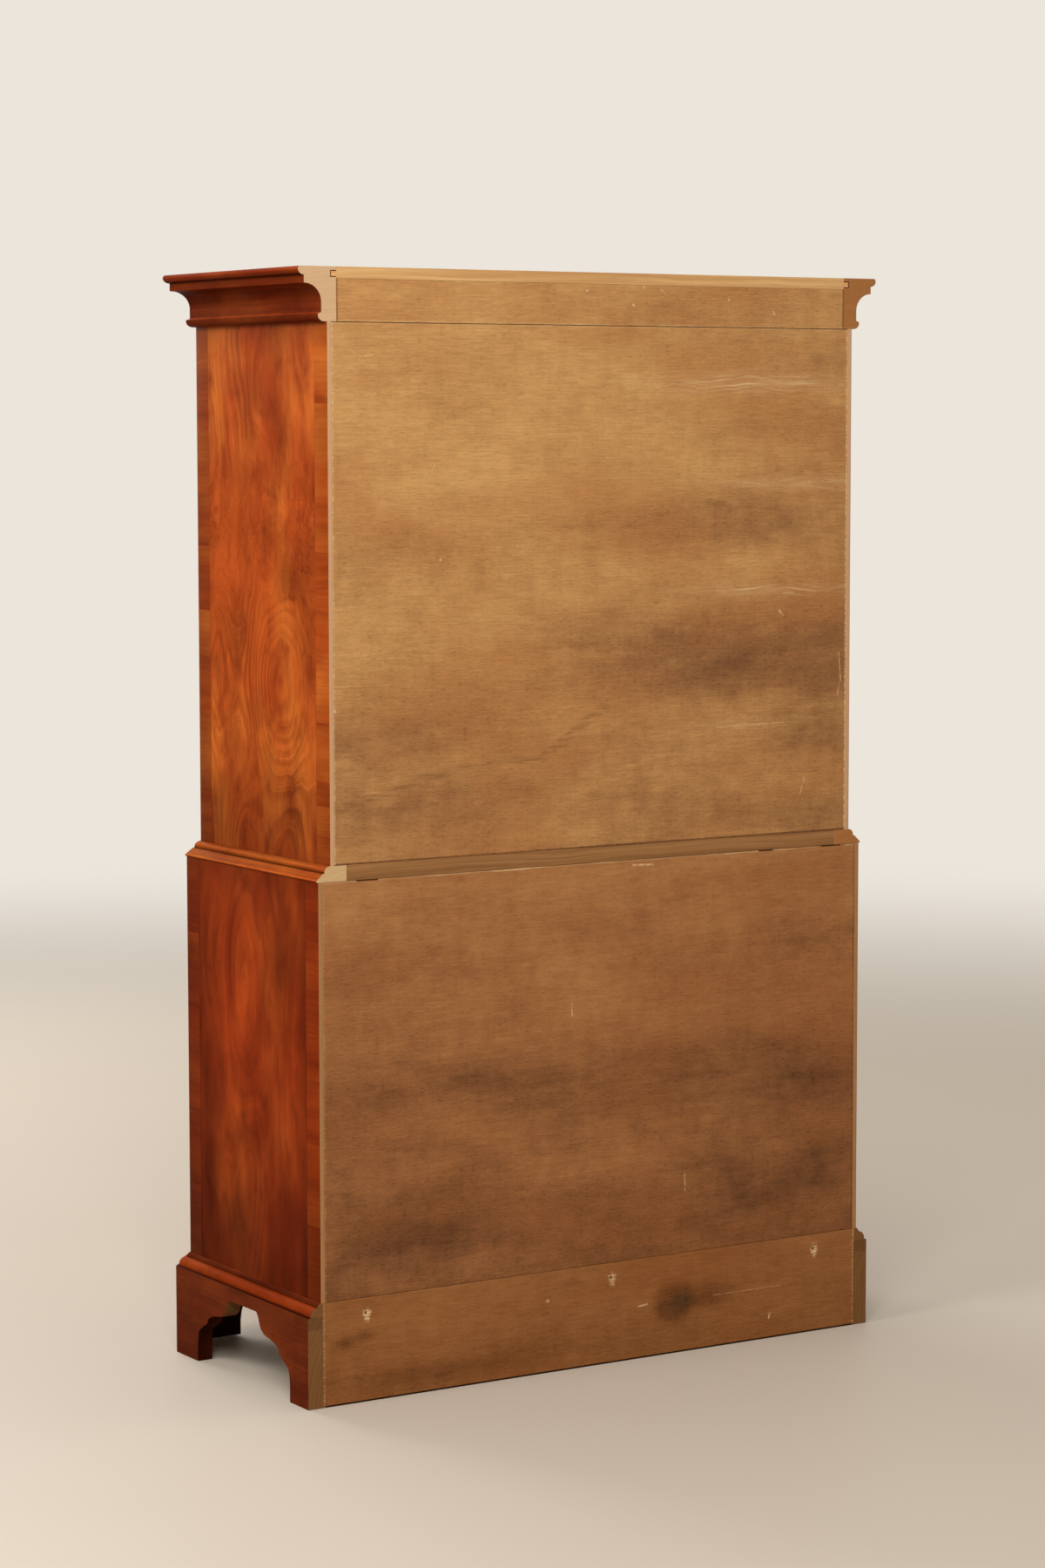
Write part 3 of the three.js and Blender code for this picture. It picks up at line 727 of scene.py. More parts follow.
@dataclass(frozen=True)
class PolishedVeneer:
    """Glossy figured veneer: growth rings wander across the sheet and close into ovals round its eyes."""

    name: str
    deep: Colour
    body: Colour
    light: Colour
    gold: Colour
    seed: float
    pitch: float = 0.011
    wander: float = 5.0
    line: float = 0.26
    blotch: float = 0.24
    patch: float = 0.4
    spread: float = 0.22
    gloss: float = 0.34
    specular: float = 0.006
    eyes: tuple[Eye, ...] = ()
    knots: tuple[Eye, ...] = ()
    burl: Burl | None = None
    shades: tuple[Shade, ...] = ()

    def _rings(self, sheet: Sheet, u: Socket, v: Socket) -> Socket:
        """Counts the rings: a steady count across the sheet, plus slow wandering, the eyes and the burl.

        Args:
            sheet: the node sheet.
            u: metres along the fibres.
            v: metres across them.

        Returns:
            The count.
        """
        rings = sheet.add(
            sheet.times(v, 1 / self.pitch),
            sheet.swing(sheet.noise(u, v, (2.2, 6.0), self.seed), self.wander),
            sheet.swing(sheet.noise(u, v, (13.0, 40.0), self.seed + 1), 0.7),
        )
        for eye in self.eyes:
            rings = sheet.line(eye.bell(sheet, u, v), eye.rings, rings)
        if self.burl:
            belt = sheet.bell(sheet.offset(u, self.burl.along, self.burl.long))
            curl = sheet.noise(u, v, (24.0, 22.0), self.seed + 2, 3.0, 0.6)
            rings = sheet.line(belt, sheet.swing(curl, self.burl.rings), rings)
        return rings

    def _late_wood(self, sheet: Sheet, u: Socket, v: Socket, rings: Socket) -> Socket:
        """Finds the thin dark lines: where a fine noise crosses its middle, and at each ring's sharp rim.

        Args:
            sheet: the node sheet.
            u: metres along the fibres.
            v: metres across them.
            rings: the count of rings.

        Returns:
            The lines' strength.
        """
        thin = sheet.noise(rings, u, (2.0, 3.0), self.seed + 4, 2.0, 0.55)
        ridge = sheet.band(sheet.calc("ABSOLUTE", sheet.add(thin, -0.5)), 0.0, 0.075, 0.7, 0.0)
        part = sheet.calc("FRACT", rings)
        rim = sheet.times(sheet.band(part, 0.35, 0.86), sheet.band(part, 0.88, 1.0, 1.0, 0.0))
        strength = sheet.band(sheet.noise(u, v, (5.0, 9.0), self.seed + 5), 0.3, 0.66, 0.15, 1.0)
        return sheet.times(sheet.calc("MAXIMUM", ridge, rim), strength)

    def material(self) -> Material:
        """Builds the sheet: broad bands and thin lines follow the rings, then come clouds, flecks and pores.

        Returns:
            The material.
        """
        sheet = Sheet(self.name)
        u, v = sheet.grain()
        rings = self._rings(sheet, u, v)
        late = self._late_wood(sheet, u, v, rings)
        broad = sheet.noise(rings, u, (0.33, 1.6), self.seed + 3, 3.0, 0.6)
        stops = (0.5 - self.spread, self.deep), (0.5, self.body), (0.5 + self.spread, self.light)
        golden = sheet.band(sheet.noise(u, v, (3.2, 7.5), self.seed + 7, 3.0), 0.42, 0.72, 0.0, 0.8)
        patch = sheet.noise(u, v, (11.0, 17.0), self.seed + 15, 5.0, 0.66)
        colour = sheet.blend(golden, sheet.ramp(broad, *stops), self.gold)
        colour = sheet.blend(sheet.times(late, self.line), colour, self.deep)
        colour = sheet.blend(sheet.band(patch, 0.44, 0.72, 0.0, self.patch), colour, self.deep)
        cloud = sheet.noise(u, v, (5.0, 10.0), self.seed + 9, 4.0, 0.62)
        fibre = sheet.noise(u, v, (26.0, 1100.0), self.seed + 11, 2.0, 0.6)
        fleck = sheet.band(sheet.noise(u, v, (70.0, 420.0), self.seed + 12), 0.6, 0.74)
        pores = sheet.band(sheet.noise(u, v, (75.0, 2300.0), self.seed + 13), 0.6, 0.72)
        streak = sheet.noise(u, v, (8.0, 240.0), self.seed + 16, 3.0, 0.6)
        # Painted shade: the shades darken the veneer near their edges, for falling light at the bottom and
        # top.
        spot = sheet.object_point()
        edges = [sheet.offset(spot[shade.axis], shade.edge, shade.reach) for shade in self.shades]
        value = sheet.times(
            sheet.band(cloud, 0.28, 0.72, 1 - self.blotch, 1 + 0.6 * self.blotch),
            sheet.line(late, -0.4 * self.line, 1.0), sheet.line(streak, 0.44, 0.78),
            sheet.line(fibre, 0.2, 0.9), sheet.line(fleck, -0.12, 1.0), sheet.line(pores, -0.1, 1.0),
            sheet.tone(),
            *(sheet.line(knot.bell(sheet, u, v), -knot.rings, 1.0) for knot in self.knots),
            *(sheet.band(edge, 0.0, 1.0, 1 - shade.depth, 1.0) for edge, shade in zip(edges, self.shades)),
        )
        sheet.bump(sheet.calc("SUBTRACT", fibre, pores), 0.00003)
        roughness = sheet.line(cloud, 0.12, self.gloss - 0.06)
        return sheet.finish(sheet.scale(colour, value), roughness, self.specular)


@dataclass(frozen=True)
class StainedPlywood:
    """Plywood under a thin, uneven stain: clouds, short dark pores along the grain, scuffs and scratches."""

    name: str
    pale: Colour
    mid: Colour
    brown: Colour
    deep: Colour
    red: Colour
    seed: float
    cloudiness: float
    scratches: tuple[Mark, ...]
    streaks: tuple[Mark, ...] = ()
    bare: Colour = (226, 190, 140)

    def _stained(self, sheet: Sheet, u: Socket, v: Socket, dark: Socket) -> Socket:
        """Colours the wood by the depth of its stain, with redder areas and broken dark streaks.

        Args:
            sheet: the node sheet.
            u: metres along the fibres.
            v: metres across them.
            dark: the depth of the stain.

        Returns:
            The colour.
        """
        colour = sheet.ramp(dark, (0.0, self.pale), (0.35, self.mid), (0.68, self.brown), (1.0, self.deep))
        redness = sheet.noise(u, v, (2.6, 6.0), self.seed + 4, 4.0)
        colour = sheet.blend(sheet.band(redness, 0.42, 0.68, 0.0, 0.5), colour, self.red)
        for streak in self.streaks:
            bent = sheet.add(v, sheet.swing(sheet.noise(u, v, (14.0, 14.0), self.seed + 5, 3.0), 0.022))
            broken = sheet.band(sheet.noise(u, v, (18.0, 160.0), self.seed + 6, 3.0), 0.38, 0.66, 0.0, 0.62)
            share = sheet.times(sheet.stroke(u, bent, streak), broken)
            colour = sheet.scale(sheet.blend(share, colour, self.brown), sheet.line(share, -0.16, 1.0))
        return colour

    def _scuffed(self, sheet: Sheet, u: Socket, v: Socket) -> Socket:
        """Finds where bare wood shows: torn along the grain in the scuffs, and in the broken scratches.

        Args:
            sheet: the node sheet.
            u: metres along the fibres.
            v: metres across them.

        Returns:
            The bare wood's share.
        """
        torn_v = sheet.add(v, sheet.swing(sheet.noise(u, v, (9.0, 6.0), self.seed + 14), 0.03))
        torn = sheet.band(sheet.noise(u, torn_v, (9.0, 300.0), self.seed + 9, 4.0, 0.6), 0.46, 0.72)
        scuffed = sheet.times(sheet.attribute(SCUFF), sheet.line(torn, 0.85, 0.12))
        broken = sheet.band(sheet.noise(u, v, (90.0, 90.0), self.seed + 10), 0.35, 0.6, 0.2, 0.8)
        for scratch in self.scratches:
            scuffed = sheet.calc("MAXIMUM", scuffed, sheet.times(sheet.stroke(u, v, scratch), broken))
        return scuffed

    def material(self) -> Material:
        """Builds the node sheet from the mesh's stain numbers, which carry painted shade too, its scuffs and
        stretched noise.

        Returns:
            The material.
        """
        sheet = Sheet(self.name)
        u, v = sheet.grain()
        cloud = sheet.noise(u, v, (5.0, 13.0), self.seed, 5.0, 0.62)
        puff = sheet.noise(u, v, (32.0, 17.0), self.seed + 1, 4.0, 0.6)
        wisp = sheet.noise(u, v, (10.0, 90.0), self.seed + 2, 4.0, 0.65)
        dash = sheet.noise(u, v, (24.0, 360.0), self.seed + 6, 4.0, 0.68)
        pores = sheet.band(sheet.noise(u, v, (95.0, 1100.0), self.seed + 8, 2.0, 0.6), 0.53, 0.64)
        laid = sheet.times(sheet.attribute(STAIN_AND_SHADE), sheet.line(cloud, 0.9, 0.55))
        swings = (cloud, self.cloudiness), (puff, 0.42), (wisp, 0.34)
        dark = sheet.add(laid, *(sheet.swing(noise, width) for noise, width in swings))
        pored = sheet.calc("SUBTRACT", 1.0, sheet.times(pores, sheet.line(dark, 0.3, 0.15, clamp=True)))
        value = sheet.times(sheet.line(dash, 0.76, 0.62), pored, sheet.tone())
        colour = sheet.scale(self._stained(sheet, u, v, dark), value)
        sheet.bump(sheet.calc("SUBTRACT", dash, pores), 0.0001)
        bared = sheet.blend(self._scuffed(sheet, u, v), colour, self.bare)
        return sheet.finish(bared, sheet.line(cloud, 0.2, 0.5), 0.02)


@dataclass(frozen=True)
class PlainWood:
    """Unfigured wood with straight fibres, as on hidden boards, drawer sides and worn arrises."""

    name: str
    body: Colour
    dark: Colour
    seed: float
    rings: float = 90.0
    contrast: float = 0.5
    gloss: float = 0.6

    def material(self) -> Material:
        """Builds the node sheet: wide bands and fibres, all drawn out along u.

        Returns:
            The material.
        """
        sheet = Sheet(self.name)
        u, v = sheet.grain()
        bent = sheet.add(v, sheet.swing(sheet.noise(u, v, (3.0, 8.0), self.seed), 0.03))
        rings = sheet.noise(bent, u, (self.rings, 1.2), self.seed + 2, 3.0, 0.6)
        fibre = sheet.noise(u, v, (30.0, 900.0), self.seed + 4, 2.0, 0.6)
        colour = sheet.blend(sheet.band(rings, 0.25, 0.75, 0.0, self.contrast), self.body, self.dark)
        value = sheet.times(sheet.line(fibre, 0.3, 0.85), sheet.tone())
        sheet.bump(fibre, 0.00006)
        return sheet.finish(sheet.scale(colour, value), self.gloss, 0.02)


@dataclass(frozen=True)
class EndGrain:
    """Sawn end grain: small dots of pores over faint growth rings."""

    name: str
    body: Colour
    dark: Colour
    seed: float

    def material(self) -> Material:
        """Builds the node sheet: curved ring bands from a distance to the log's heart, and fine pores.

        Returns:
            The material.
        """
        sheet = Sheet(self.name)
        u, v = sheet.grain()
        heart = sheet.add(v, sheet.times(u, u, 2.5))
        rings = sheet.noise(heart, u, (260.0, 6.0), self.seed, 3.0, 0.6)
        pores = sheet.band(sheet.noise(u, v, (900.0, 900.0), self.seed + 2), 0.55, 0.7)
        colour = sheet.blend(sheet.band(rings, 0.35, 0.7, 0.0, 0.6), self.body, self.dark)
        sheet.bump(pores, 0.00008)
        value = sheet.times(sheet.line(pores, -0.18, 1.0), sheet.tone())
        return sheet.finish(sheet.scale(colour, value), 0.7, 0.02)


@dataclass(frozen=True)
class Brass:
    """Lacquered brass with faint polishing lines and a browner tint where the lacquer has aged."""

    name: str
    bright: Colour
    aged: Colour

    def material(self) -> Material:
        """Builds the node sheet on object coordinates.

        Returns:
            The material.
        """
        sheet = Sheet(self.name)
        x, y, z = sheet.object_point()
        across = sheet.add(x, sheet.times(y, 0.7))
        age = sheet.band(sheet.noise(across, z, (45.0, 45.0), 1.0, 3.0), 0.4, 0.7)
        lines = sheet.noise(across, z, (300.0, 1800.0), 4.0)
        roughness = sheet.add(sheet.line(age, 0.14, 0.18), sheet.times(lines, 0.06))
        sheet.bump(lines, 0.00001)
        return sheet.finish(sheet.blend(age, self.bright, self.aged), roughness, metallic=1.0)


@dataclass(frozen=True)
class Darkness:
    """The unlit inside of a keyhole."""

    name: str
    tint: Colour

    def material(self) -> Material:
        """Builds a dull, nearly black sheet with faint dust.

        Returns:
            The material.
        """
        sheet = Sheet(self.name)
        x, y, z = sheet.object_point()
        dust = sheet.line(sheet.noise(sheet.add(x, y), z, (600.0, 600.0), 2.0), 0.8, 0.6)
        return sheet.finish(sheet.scale(sheet.point(*srgb(*self.tint)), dust), 0.9, 0.1)


class Palette:
    """Every finish of the chest, built once."""

    def __init__(self) -> None:
        """Builds the materials from their dataclasses."""
        orange = (128, 44, 14), (178, 76, 26), (196, 94, 34), (206, 110, 42)
        red = (98, 28, 9), (142, 51, 16), (162, 65, 22), (168, 74, 26)
        self._build_sides(orange, red)
        self.moulding = self._moulded("polished_moulding", 60.0, (88, 27, 10), (124, 44, 15), (148, 60, 21),
                                      (162, 72, 26))
        self.waist_moulding = self._moulded("polished_waist_moulding", 61.0, (108, 42, 12), (140, 62, 18),
                                            (156, 76, 23), (168, 88, 28))
        self.base_moulding = self._moulded("polished_base_moulding", 63.0, *red)
        # The bracket's colours are darker than the lower case's: partly its own colour, partly painted shade
        # near the floor.
        self.bracket = PolishedVeneer("polished_bracket", (72, 24, 10), (98, 37, 15), (116, 47, 18),
                                      (124, 54, 20), 66.0, line=0.16, blotch=0.26).material()
        eyes = rows(Eye, (0.12, 1.02, 0.07, 0.05, 6.0), (0.3, 1.16, 0.09, 0.05, -5.0),
                    (0.33, 0.92, 0.08, 0.04, 5.0))
        self.drawer = PolishedVeneer("veneer_drawer", *orange, 80.0, pitch=0.009, line=0.3,
                                     eyes=eyes).material()
        self.raw = PlainWood("unfinished_wood", (206, 172, 124), (172, 132, 84), 5.0).material()
        self.drawer_wood = PlainWood("drawer_wood", (216, 184, 136), (188, 150, 100), 9.0,
                                     gloss=0.5).material()
        self.worn = PlainWood("worn_rear_edge", (206, 162, 122), (180, 134, 96), 12.0).material()
        self.dark_worn = PlainWood("worn_lower_rear_edge", (174, 128, 84), (146, 102, 64), 13.0).material()
        self.top_edge = PlainWood("top_rear_edge", (230, 186, 128), (188, 134, 80), 14.0,
                                  contrast=0.9).material()
        self.inner_rail = PlainWood("stained_rail", (172, 122, 76), (118, 80, 46), 15.0, 130.0, 0.85,
                                    0.5).material()
        # Painted shade: a near-black finish for the bracket boards' inner faces, where the base's inside lies
        # in shade.
        self.black_inside = PlainWood("stained_inside", (44, 28, 18), (30, 20, 14), 17.0,
                                      gloss=0.7).material()
        self.pale_end = EndGrain("pale_end_grain", (216, 178, 138), (192, 150, 108), 3.0).material()
        self.waist_end = EndGrain("waist_end_grain", (212, 176, 128), (184, 146, 100), 6.0).material()
        self.dark_end = EndGrain("stained_end_grain", (128, 88, 52), (106, 70, 40), 8.0).material()
        self.stained_end = EndGrain("stained_far_end", (176, 118, 68), (142, 88, 46), 16.0).material()
        self.brass = Brass("lacquered_brass", (226, 186, 104), (176, 128, 62)).material()
        self.dark = Darkness("keyhole_dark", (22, 18, 14)).material()
        self._build_backs()

    @staticmethod
    def _moulded(name: str, seed: float, *colours: Colour) -> Material:
        """Builds the veneer of a moulding."""
        return PolishedVeneer(name, *colours, seed, wander=2.0, line=0.2, blotch=0.18,
                              specular=0.002).material()

    def _build_sides(self, orange: Sequence[Colour], red: Sequence[Colour]) -> None:
        """Builds the veneers of the two cases' sides and of their crossbanding.

        Args:
            orange: the upper case's colours, from deep to golden.
            red: the lower case's colours.
        """
        # Painted shade towards the bottom and under the moulding above, and darker front and rear edges.
        upper_shades = rows(Shade, (2, 0.867, 0.2, 0.34), (2, 1.718, -0.06, 0.34), (1, -0.176, 0.09, 0.2),
                            (1, 0.264, -0.06, 0.12))
        lower_shades = rows(Shade, (2, 0.17, 0.26, 0.48), (2, 0.842, -0.05, 0.2), (1, -0.185, 0.1, 0.34),
                            (1, 0.264, -0.08, 0.1))
        self.upper_side = PolishedVeneer(
            "veneer_upper_side", *orange, 2.0, pitch=0.045, wander=7.0, line=0.38, patch=0.66, spread=0.34,
            eyes=rows(
                Eye, (0.27, 0.27, 0.16, 0.095, 10.0), (0.285, 0.06, 0.18, 0.07, 7.0),
                (0.0, 0.15, 0.11, 0.09, 7.0), (0.78, 0.23, 0.3, 0.09, 4.0),
            ),
            knots=rows(
                Eye, (0.5, 0.05, 0.03, 0.03, 0.22), (0.5, 0.24, 0.04, 0.03, 0.22),
                (0.45, 0.3, 0.03, 0.03, 0.2), (0.62, 0.16, 0.03, 0.06, 0.16),
                (0.06, 0.06, 0.05, 0.08, 0.2), (0.44, 0.37, 0.15, 0.04, 0.16),
                (0.08, 0.33, 0.06, 0.09, 0.2), (0.54, 0.12, 0.04, 0.05, -0.12),
            ),
            burl=Burl(0.5, 0.075, 7.0), shades=upper_shades,
        ).material()
        self.lower_side = PolishedVeneer(
            "veneer_lower_side", *red, 21.0, pitch=0.045, wander=7.0, line=0.24, blotch=0.22, spread=0.3,
            eyes=rows(Eye, (0.48, 0.2, 0.22, 0.07, 5.0), (0.16, 0.22, 0.14, 0.05, -4.0)),
            knots=rows(
                Eye, (0.3, 0.07, 0.5, 0.04, 0.24), (0.53, 0.35, 0.1, 0.06, 0.2),
                (0.15, 0.075, 0.1, 0.035, 0.2), (0.26, 0.195, 0.04, 0.012, 0.25),
                (0.09, 0.175, 0.05, 0.03, 0.2), (0.4, 0.2, 0.07, 0.07, -0.45),
                (0.54, 0.2, 0.1, 0.06, -0.2), (0.325, 0.275, 0.08, 0.05, -0.16),
                (0.14, 0.255, 0.07, 0.02, -0.22),
            ),
            shades=(*lower_shades, Shade(1, 0.223, -0.035, 0.3)),
        ).material()
        self.band = PolishedVeneer("veneer_crossband", *orange, 40.0, line=0.12, blotch=0.14, patch=0.2,
                                   spread=0.36, shades=upper_shades).material()
        self.red_band = PolishedVeneer("veneer_crossband_lower", *red, 45.0, line=0.12, blotch=0.14,
                                       patch=0.1, spread=0.36, shades=lower_shades).material()

    def _build_backs(self) -> None:
        """Builds the stained plywood of the two backs and of the base's back board."""
        self.upper_back = StainedPlywood(
            "plywood_upper", (210, 160, 100), (188, 137, 84), (156, 108, 67), (130, 88, 56), (176, 114, 66),
            3.0, 0.46,
            rows(
                Mark, (-0.486, 1.17, -0.49, 1.125, 0.0009), (-0.49, 1.125, -0.483, 1.098, 0.0006),
                (-0.4165, 0.97, -0.4057, 0.9322, 0.0007), (-0.23, 1.054, -0.37, 1.056, 0.0006),
                (0.45, 1.664, 0.425, 1.667, 0.0009), (0.32, 1.485, 0.314, 1.495, 0.0006),
                (0.0265, 1.7729, 0.0255, 1.7745, 0.0016), (-0.0839, 1.7825, -0.085, 1.78, 0.0016),
                (-0.119, 1.777, -0.128, 1.771, 0.001), (-0.0635, 1.7525, -0.0655, 1.7505, 0.0015),
                (-0.254, 1.764, -0.2555, 1.762, 0.0013), (-0.344, 1.745, -0.348, 1.74, 0.0013),
                (0.5, 1.384, 0.5, 1.385, 0.0022), (0.499, 1.11, 0.499, 1.111, 0.0024),
                (0.305, 1.344, 0.304, 1.344, 0.0018), (-0.36, 1.246, -0.369, 1.238, 0.0014),
            ),
            rows(Mark, (0.5, 0.948, 0.33, 1.0, 0.0075), (0.33, 1.0, 0.11, 1.022, 0.0065),
                 (0.11, 1.022, -0.01, 1.1, 0.0085)),
        ).material()
        self.lower_back = StainedPlywood(
            "plywood_lower", (184, 130, 80), (164, 109, 66), (136, 88, 54), (102, 66, 40), (152, 94, 54),
            30.0, 0.42,
            rows(Mark, (0.056, 0.612, 0.055, 0.59, 0.0008), (-0.17, 0.305, -0.171, 0.275, 0.0009),
                 (-0.065, 0.833, -0.105, 0.831, 0.0016)),
        ).material()
        self.plinth_back = StainedPlywood(
            "stained_plinth_board", (160, 106, 62), (142, 90, 50), (114, 70, 38), (82, 60, 36),
            (140, 82, 42), 50.0, 0.4,
            rows(Mark, (-0.0745, 0.0885, -0.0945, 0.0905, 0.0012), (-0.228, 0.0889, -0.37, 0.0893, 0.0003),
                 (-0.348, 0.044, -0.345, 0.035, 0.0014), (0.104, 0.1205, 0.102, 0.1203, 0.0022)),
            rows(Mark, (0.113, 0.0999, 0.101, 0.0997, 0.0022)),
        ).material()


# Sub-assemblies


@dataclass(frozen=True)
class Plan:
    """Plan of the chest: the faces of the upper case, from which the mouldings stand out."""

    half_width: float
    back: float
    front: float
    cant: float

    @staticmethod
    def from_frame() -> "Plan":
        """Reads the plan from the upper case's right side and post."""
        low, high = extent("upper_right_side")
        front = extent("upper_right_post")[0][1]
        return Plan(high[0], high[1], front, low[1] - front)

    def corners(self, out: Array) -> Array:
        """Gives the six corners for each distance out: a mitre at each turn of 45 degrees.

        Args:
            out: distances from the upper case's faces, of shape (n,).

        Returns:
            Points of shape (6, n, 2), from the left rear round the front to the right rear.
        """
        side_x, front_x = self.half_width + out, self.half_width - self.cant + out * MITRE
        side_y, front_y = self.front + self.cant - out * MITRE, self.front - out
        right = [(front_x, front_y), (side_x, side_y), (side_x, np.full_like(out, self.back))]
        right = np.stack([np.stack(pair, axis=-1) for pair in right])
        return np.concatenate([right[::-1] * (-1, 1), right])

    def carry(self, section: Array) -> Array:
        """Carries a section of distance out and height, of shape (n, 2), round the six corners."""
        return over(self.corners(section[:, 0]), section[:, 1])


class Hand(Enum):
    """The two sides of the chest, as seen from the front."""

    LEFT = -1
    RIGHT = 1

    @property
    def mirror(self) -> Array:
        """Gives the factors that turn the right side into this one."""
        return np.array([self.value, 1, 1])


@dataclass
class CaseSide:
    """A case's side: a figured field between two crossbanded strips, and a worn rear edge."""

    prefix: str
    hand: Hand
    finishes: Sequence[Material]
    seed: int
    front_leaves: Pair
    rear_leaves: Pair
    band_width: float = 0.041
    glue: float = 0.0009
    glue_tone: float = -0.38
    block: float = 0.118
    unevenness: float = 0.3
    arris: float = 0.0008
    panel_margin: float = 0.0085
    panel_depth: float = 0.0063
    most_leaves: int = 40

    def build(self) -> None:
        """Pushes the side's plan up through the crossbanding's joints, and lays each leaf's own grain."""
        node = f"{self.prefix}_{self.hand.name.lower()}_side"
        low, high = extent(node)
        inner, outer = sorted((abs(low[0]), abs(high[0])))
        front, back, edge, most = low[1], high[1], self.band_width, self.most_leaves
        random = np.random.default_rng(self.seed + (self.hand is Hand.LEFT))
        count = max(2, round((high[2] - low[2]) / self.block))
        joints = np.linspace(low[2], high[2], count + 1)
        joints[1:-1] += random.uniform(-self.unevenness, self.unevenness, count - 1) * self.block
        grid = tube(self._outline(inner, outer, front, back), joints)
        corners = cells_of(grid)
        x, y, z = corners.mean(axis=1).T
        on_face = x > outer - self.arris
        on_rear = (y > back - self.arris) & ~on_face
        in_rear = y > back - edge
        banded = on_face & ((y < front + edge) | in_rear)
        row = np.searchsorted(joints, z) - 1
        start = np.where(in_rear, most, 0) + 3 * row
        field = np.stack([corners[..., 2] - low[2], corners[..., 1] - front], axis=-1)
        crossed = np.stack([corners[..., 1] + start[:, None], corners[..., 2]], axis=-1)
        masks = [mask[:, None, None] for mask in (banded, on_face)]
        grain = np.select(masks, [crossed, field], plank_grain(corners, 2)[0])
        leaves = [random.uniform(*reach, most) for reach in (self.front_leaves, self.rear_leaves)]
        leaf_tone = np.concatenate(leaves)
        from_band = np.minimum(y - front, back - y) - edge - self.glue / 2
        glued = on_face & (np.abs(from_band) < self.glue / 2)
        tone = np.select([glued, banded], [self.glue_tone, leaf_tone[row + np.where(in_rear, most, 0)]], 0.0)
        skin = Skin()
        skin.add(corners * self.hand.mirror, grain, tone, np.select([banded, on_face, on_rear], [1, 0, 2], 3))
        skin.close(grid * self.hand.mirror, (0, 1), 0.0, 3)
        place(skin.build(f"{node}_veneered", self.finishes), CARCASE, "case_veneer", node)

    def _outline(self, inner: float, outer: float, front: float, back: float) -> Array:
        """Gives the right side's plan, with points at the glue lines and a rabbet for the back.

        Args:
            inner: the inner face's X.
            outer: the outer face's X.
            front: the front edge's Y.
            back: the rear edge's Y.

        Returns:
            The softened outline.
        """
        edge, glue = self.band_width, self.glue
        lip, rabbet = outer - self.panel_margin, back - self.panel_depth
        bands = front + edge, front + edge + glue, back - edge - glue, back - edge, back
        face = [(outer, y) for y in bands]
        rest = [(lip, back), (lip, rabbet), (inner, rabbet), (inner, front), (outer, front)]
        return soften(np.array(face + rest), self.arris)


@dataclass
class CornerPost:
    """A canted corner post with stopped flutes, which are troughs of a round section with round ends."""

    prefix: str
    hand: Hand
    finishes: Sequence[Material]
    flute_radius: float = 0.0045
    flute_pitch: float = 0.013
    flute_count: int = 3
    flute_stop: float = 0.045
    stile: float = 0.010

    def build(self) -> None:
        """Carries the post's plan up: on the canted face a point sinks by the height of a sphere over it."""
        node = f"{self.prefix}_{self.hand.name.lower()}_post"
        low, high = extent(node)
        near, far = sorted((abs(low[0]), abs(high[0])))
        side_corner = np.array([far, high[1]])
        run = np.array([near + self.stile, low[1]]) - side_corner
        length = float(np.linalg.norm(run))
        run /= length
        inward = np.array([-run[1], run[0]])
        inward *= np.sign(inward @ (np.array([near, high[1]]) - side_corner))
        radius = self.flute_radius
        middles = length / 2 + (np.arange(self.flute_count) - (self.flute_count - 1) / 2) * self.flute_pitch
        swing = np.sin(np.linspace(-math.pi / 2, math.pi / 2, 11)) * radius
        across = np.concatenate([[0.0], (middles[:, None] + swing).ravel(), [length]])
        tips = radius * (1 - np.cos(np.linspace(0, math.pi / 2, 7)))
        bottom, top = low[2] + self.flute_stop, high[2] - self.flute_stop
        levels = np.concatenate([[low[2]], bottom + tips, top - tips[::-1], [high[2]]])
        beyond = np.maximum(np.maximum(bottom + radius - levels, levels - top + radius), 0)
        reach = radius**2 - (across[None, :, None] - middles) ** 2 - beyond[:, None, None] ** 2
        depth = np.sqrt(np.maximum(reach, 0)).max(axis=-1)
        canted = side_corner + across[None, :, None] * run + depth[..., None] * inward
        rest = np.array([(near, low[1]), (near, high[1]), side_corner])
        plan = np.concatenate([canted, np.broadcast_to(rest, (len(levels), 3, 2))], axis=1)
        grid = over(plan, levels[:, None]) * self.hand.mirror
        girth = np.concatenate([across, length + self.stile * np.array([1, 2, 3])])
        along = np.broadcast_to(levels[:, None], grid.shape[:2])
        grain = np.stack([along, np.broadcast_to(girth, grid.shape[:2])], axis=-1) + 5.0 * self.hand.value
        hidden = np.arange(grid.shape[1] - 1) >= len(across)
        skin = Skin()
        skin.add(cells_of(grid), cells_of(grain), 0.0, np.tile(hidden.astype(int), len(levels) - 1))
        skin.close(grid, (0, 1), 0.0, 1)
        place(skin.build(f"{node}_fluted", self.finishes), CARCASE, "corner_veneer", node)


@dataclass(frozen=True)
class Blotch:
    """A soft patch of darker or lighter stain: a bell curve round a point, flatter where it is crisper."""

    x: float
    z: float
    wide: float
    high: float
    depth: float
    crispness: float = 1.0

    def at(self, x: Array, z: Array) -> Array:
        """Gives the blotch's depth at each point."""
        square = ((x - self.x) / self.wide) ** 2 + ((z - self.z) / self.high) ** 2
        return self.depth * np.exp(-(square**self.crispness))


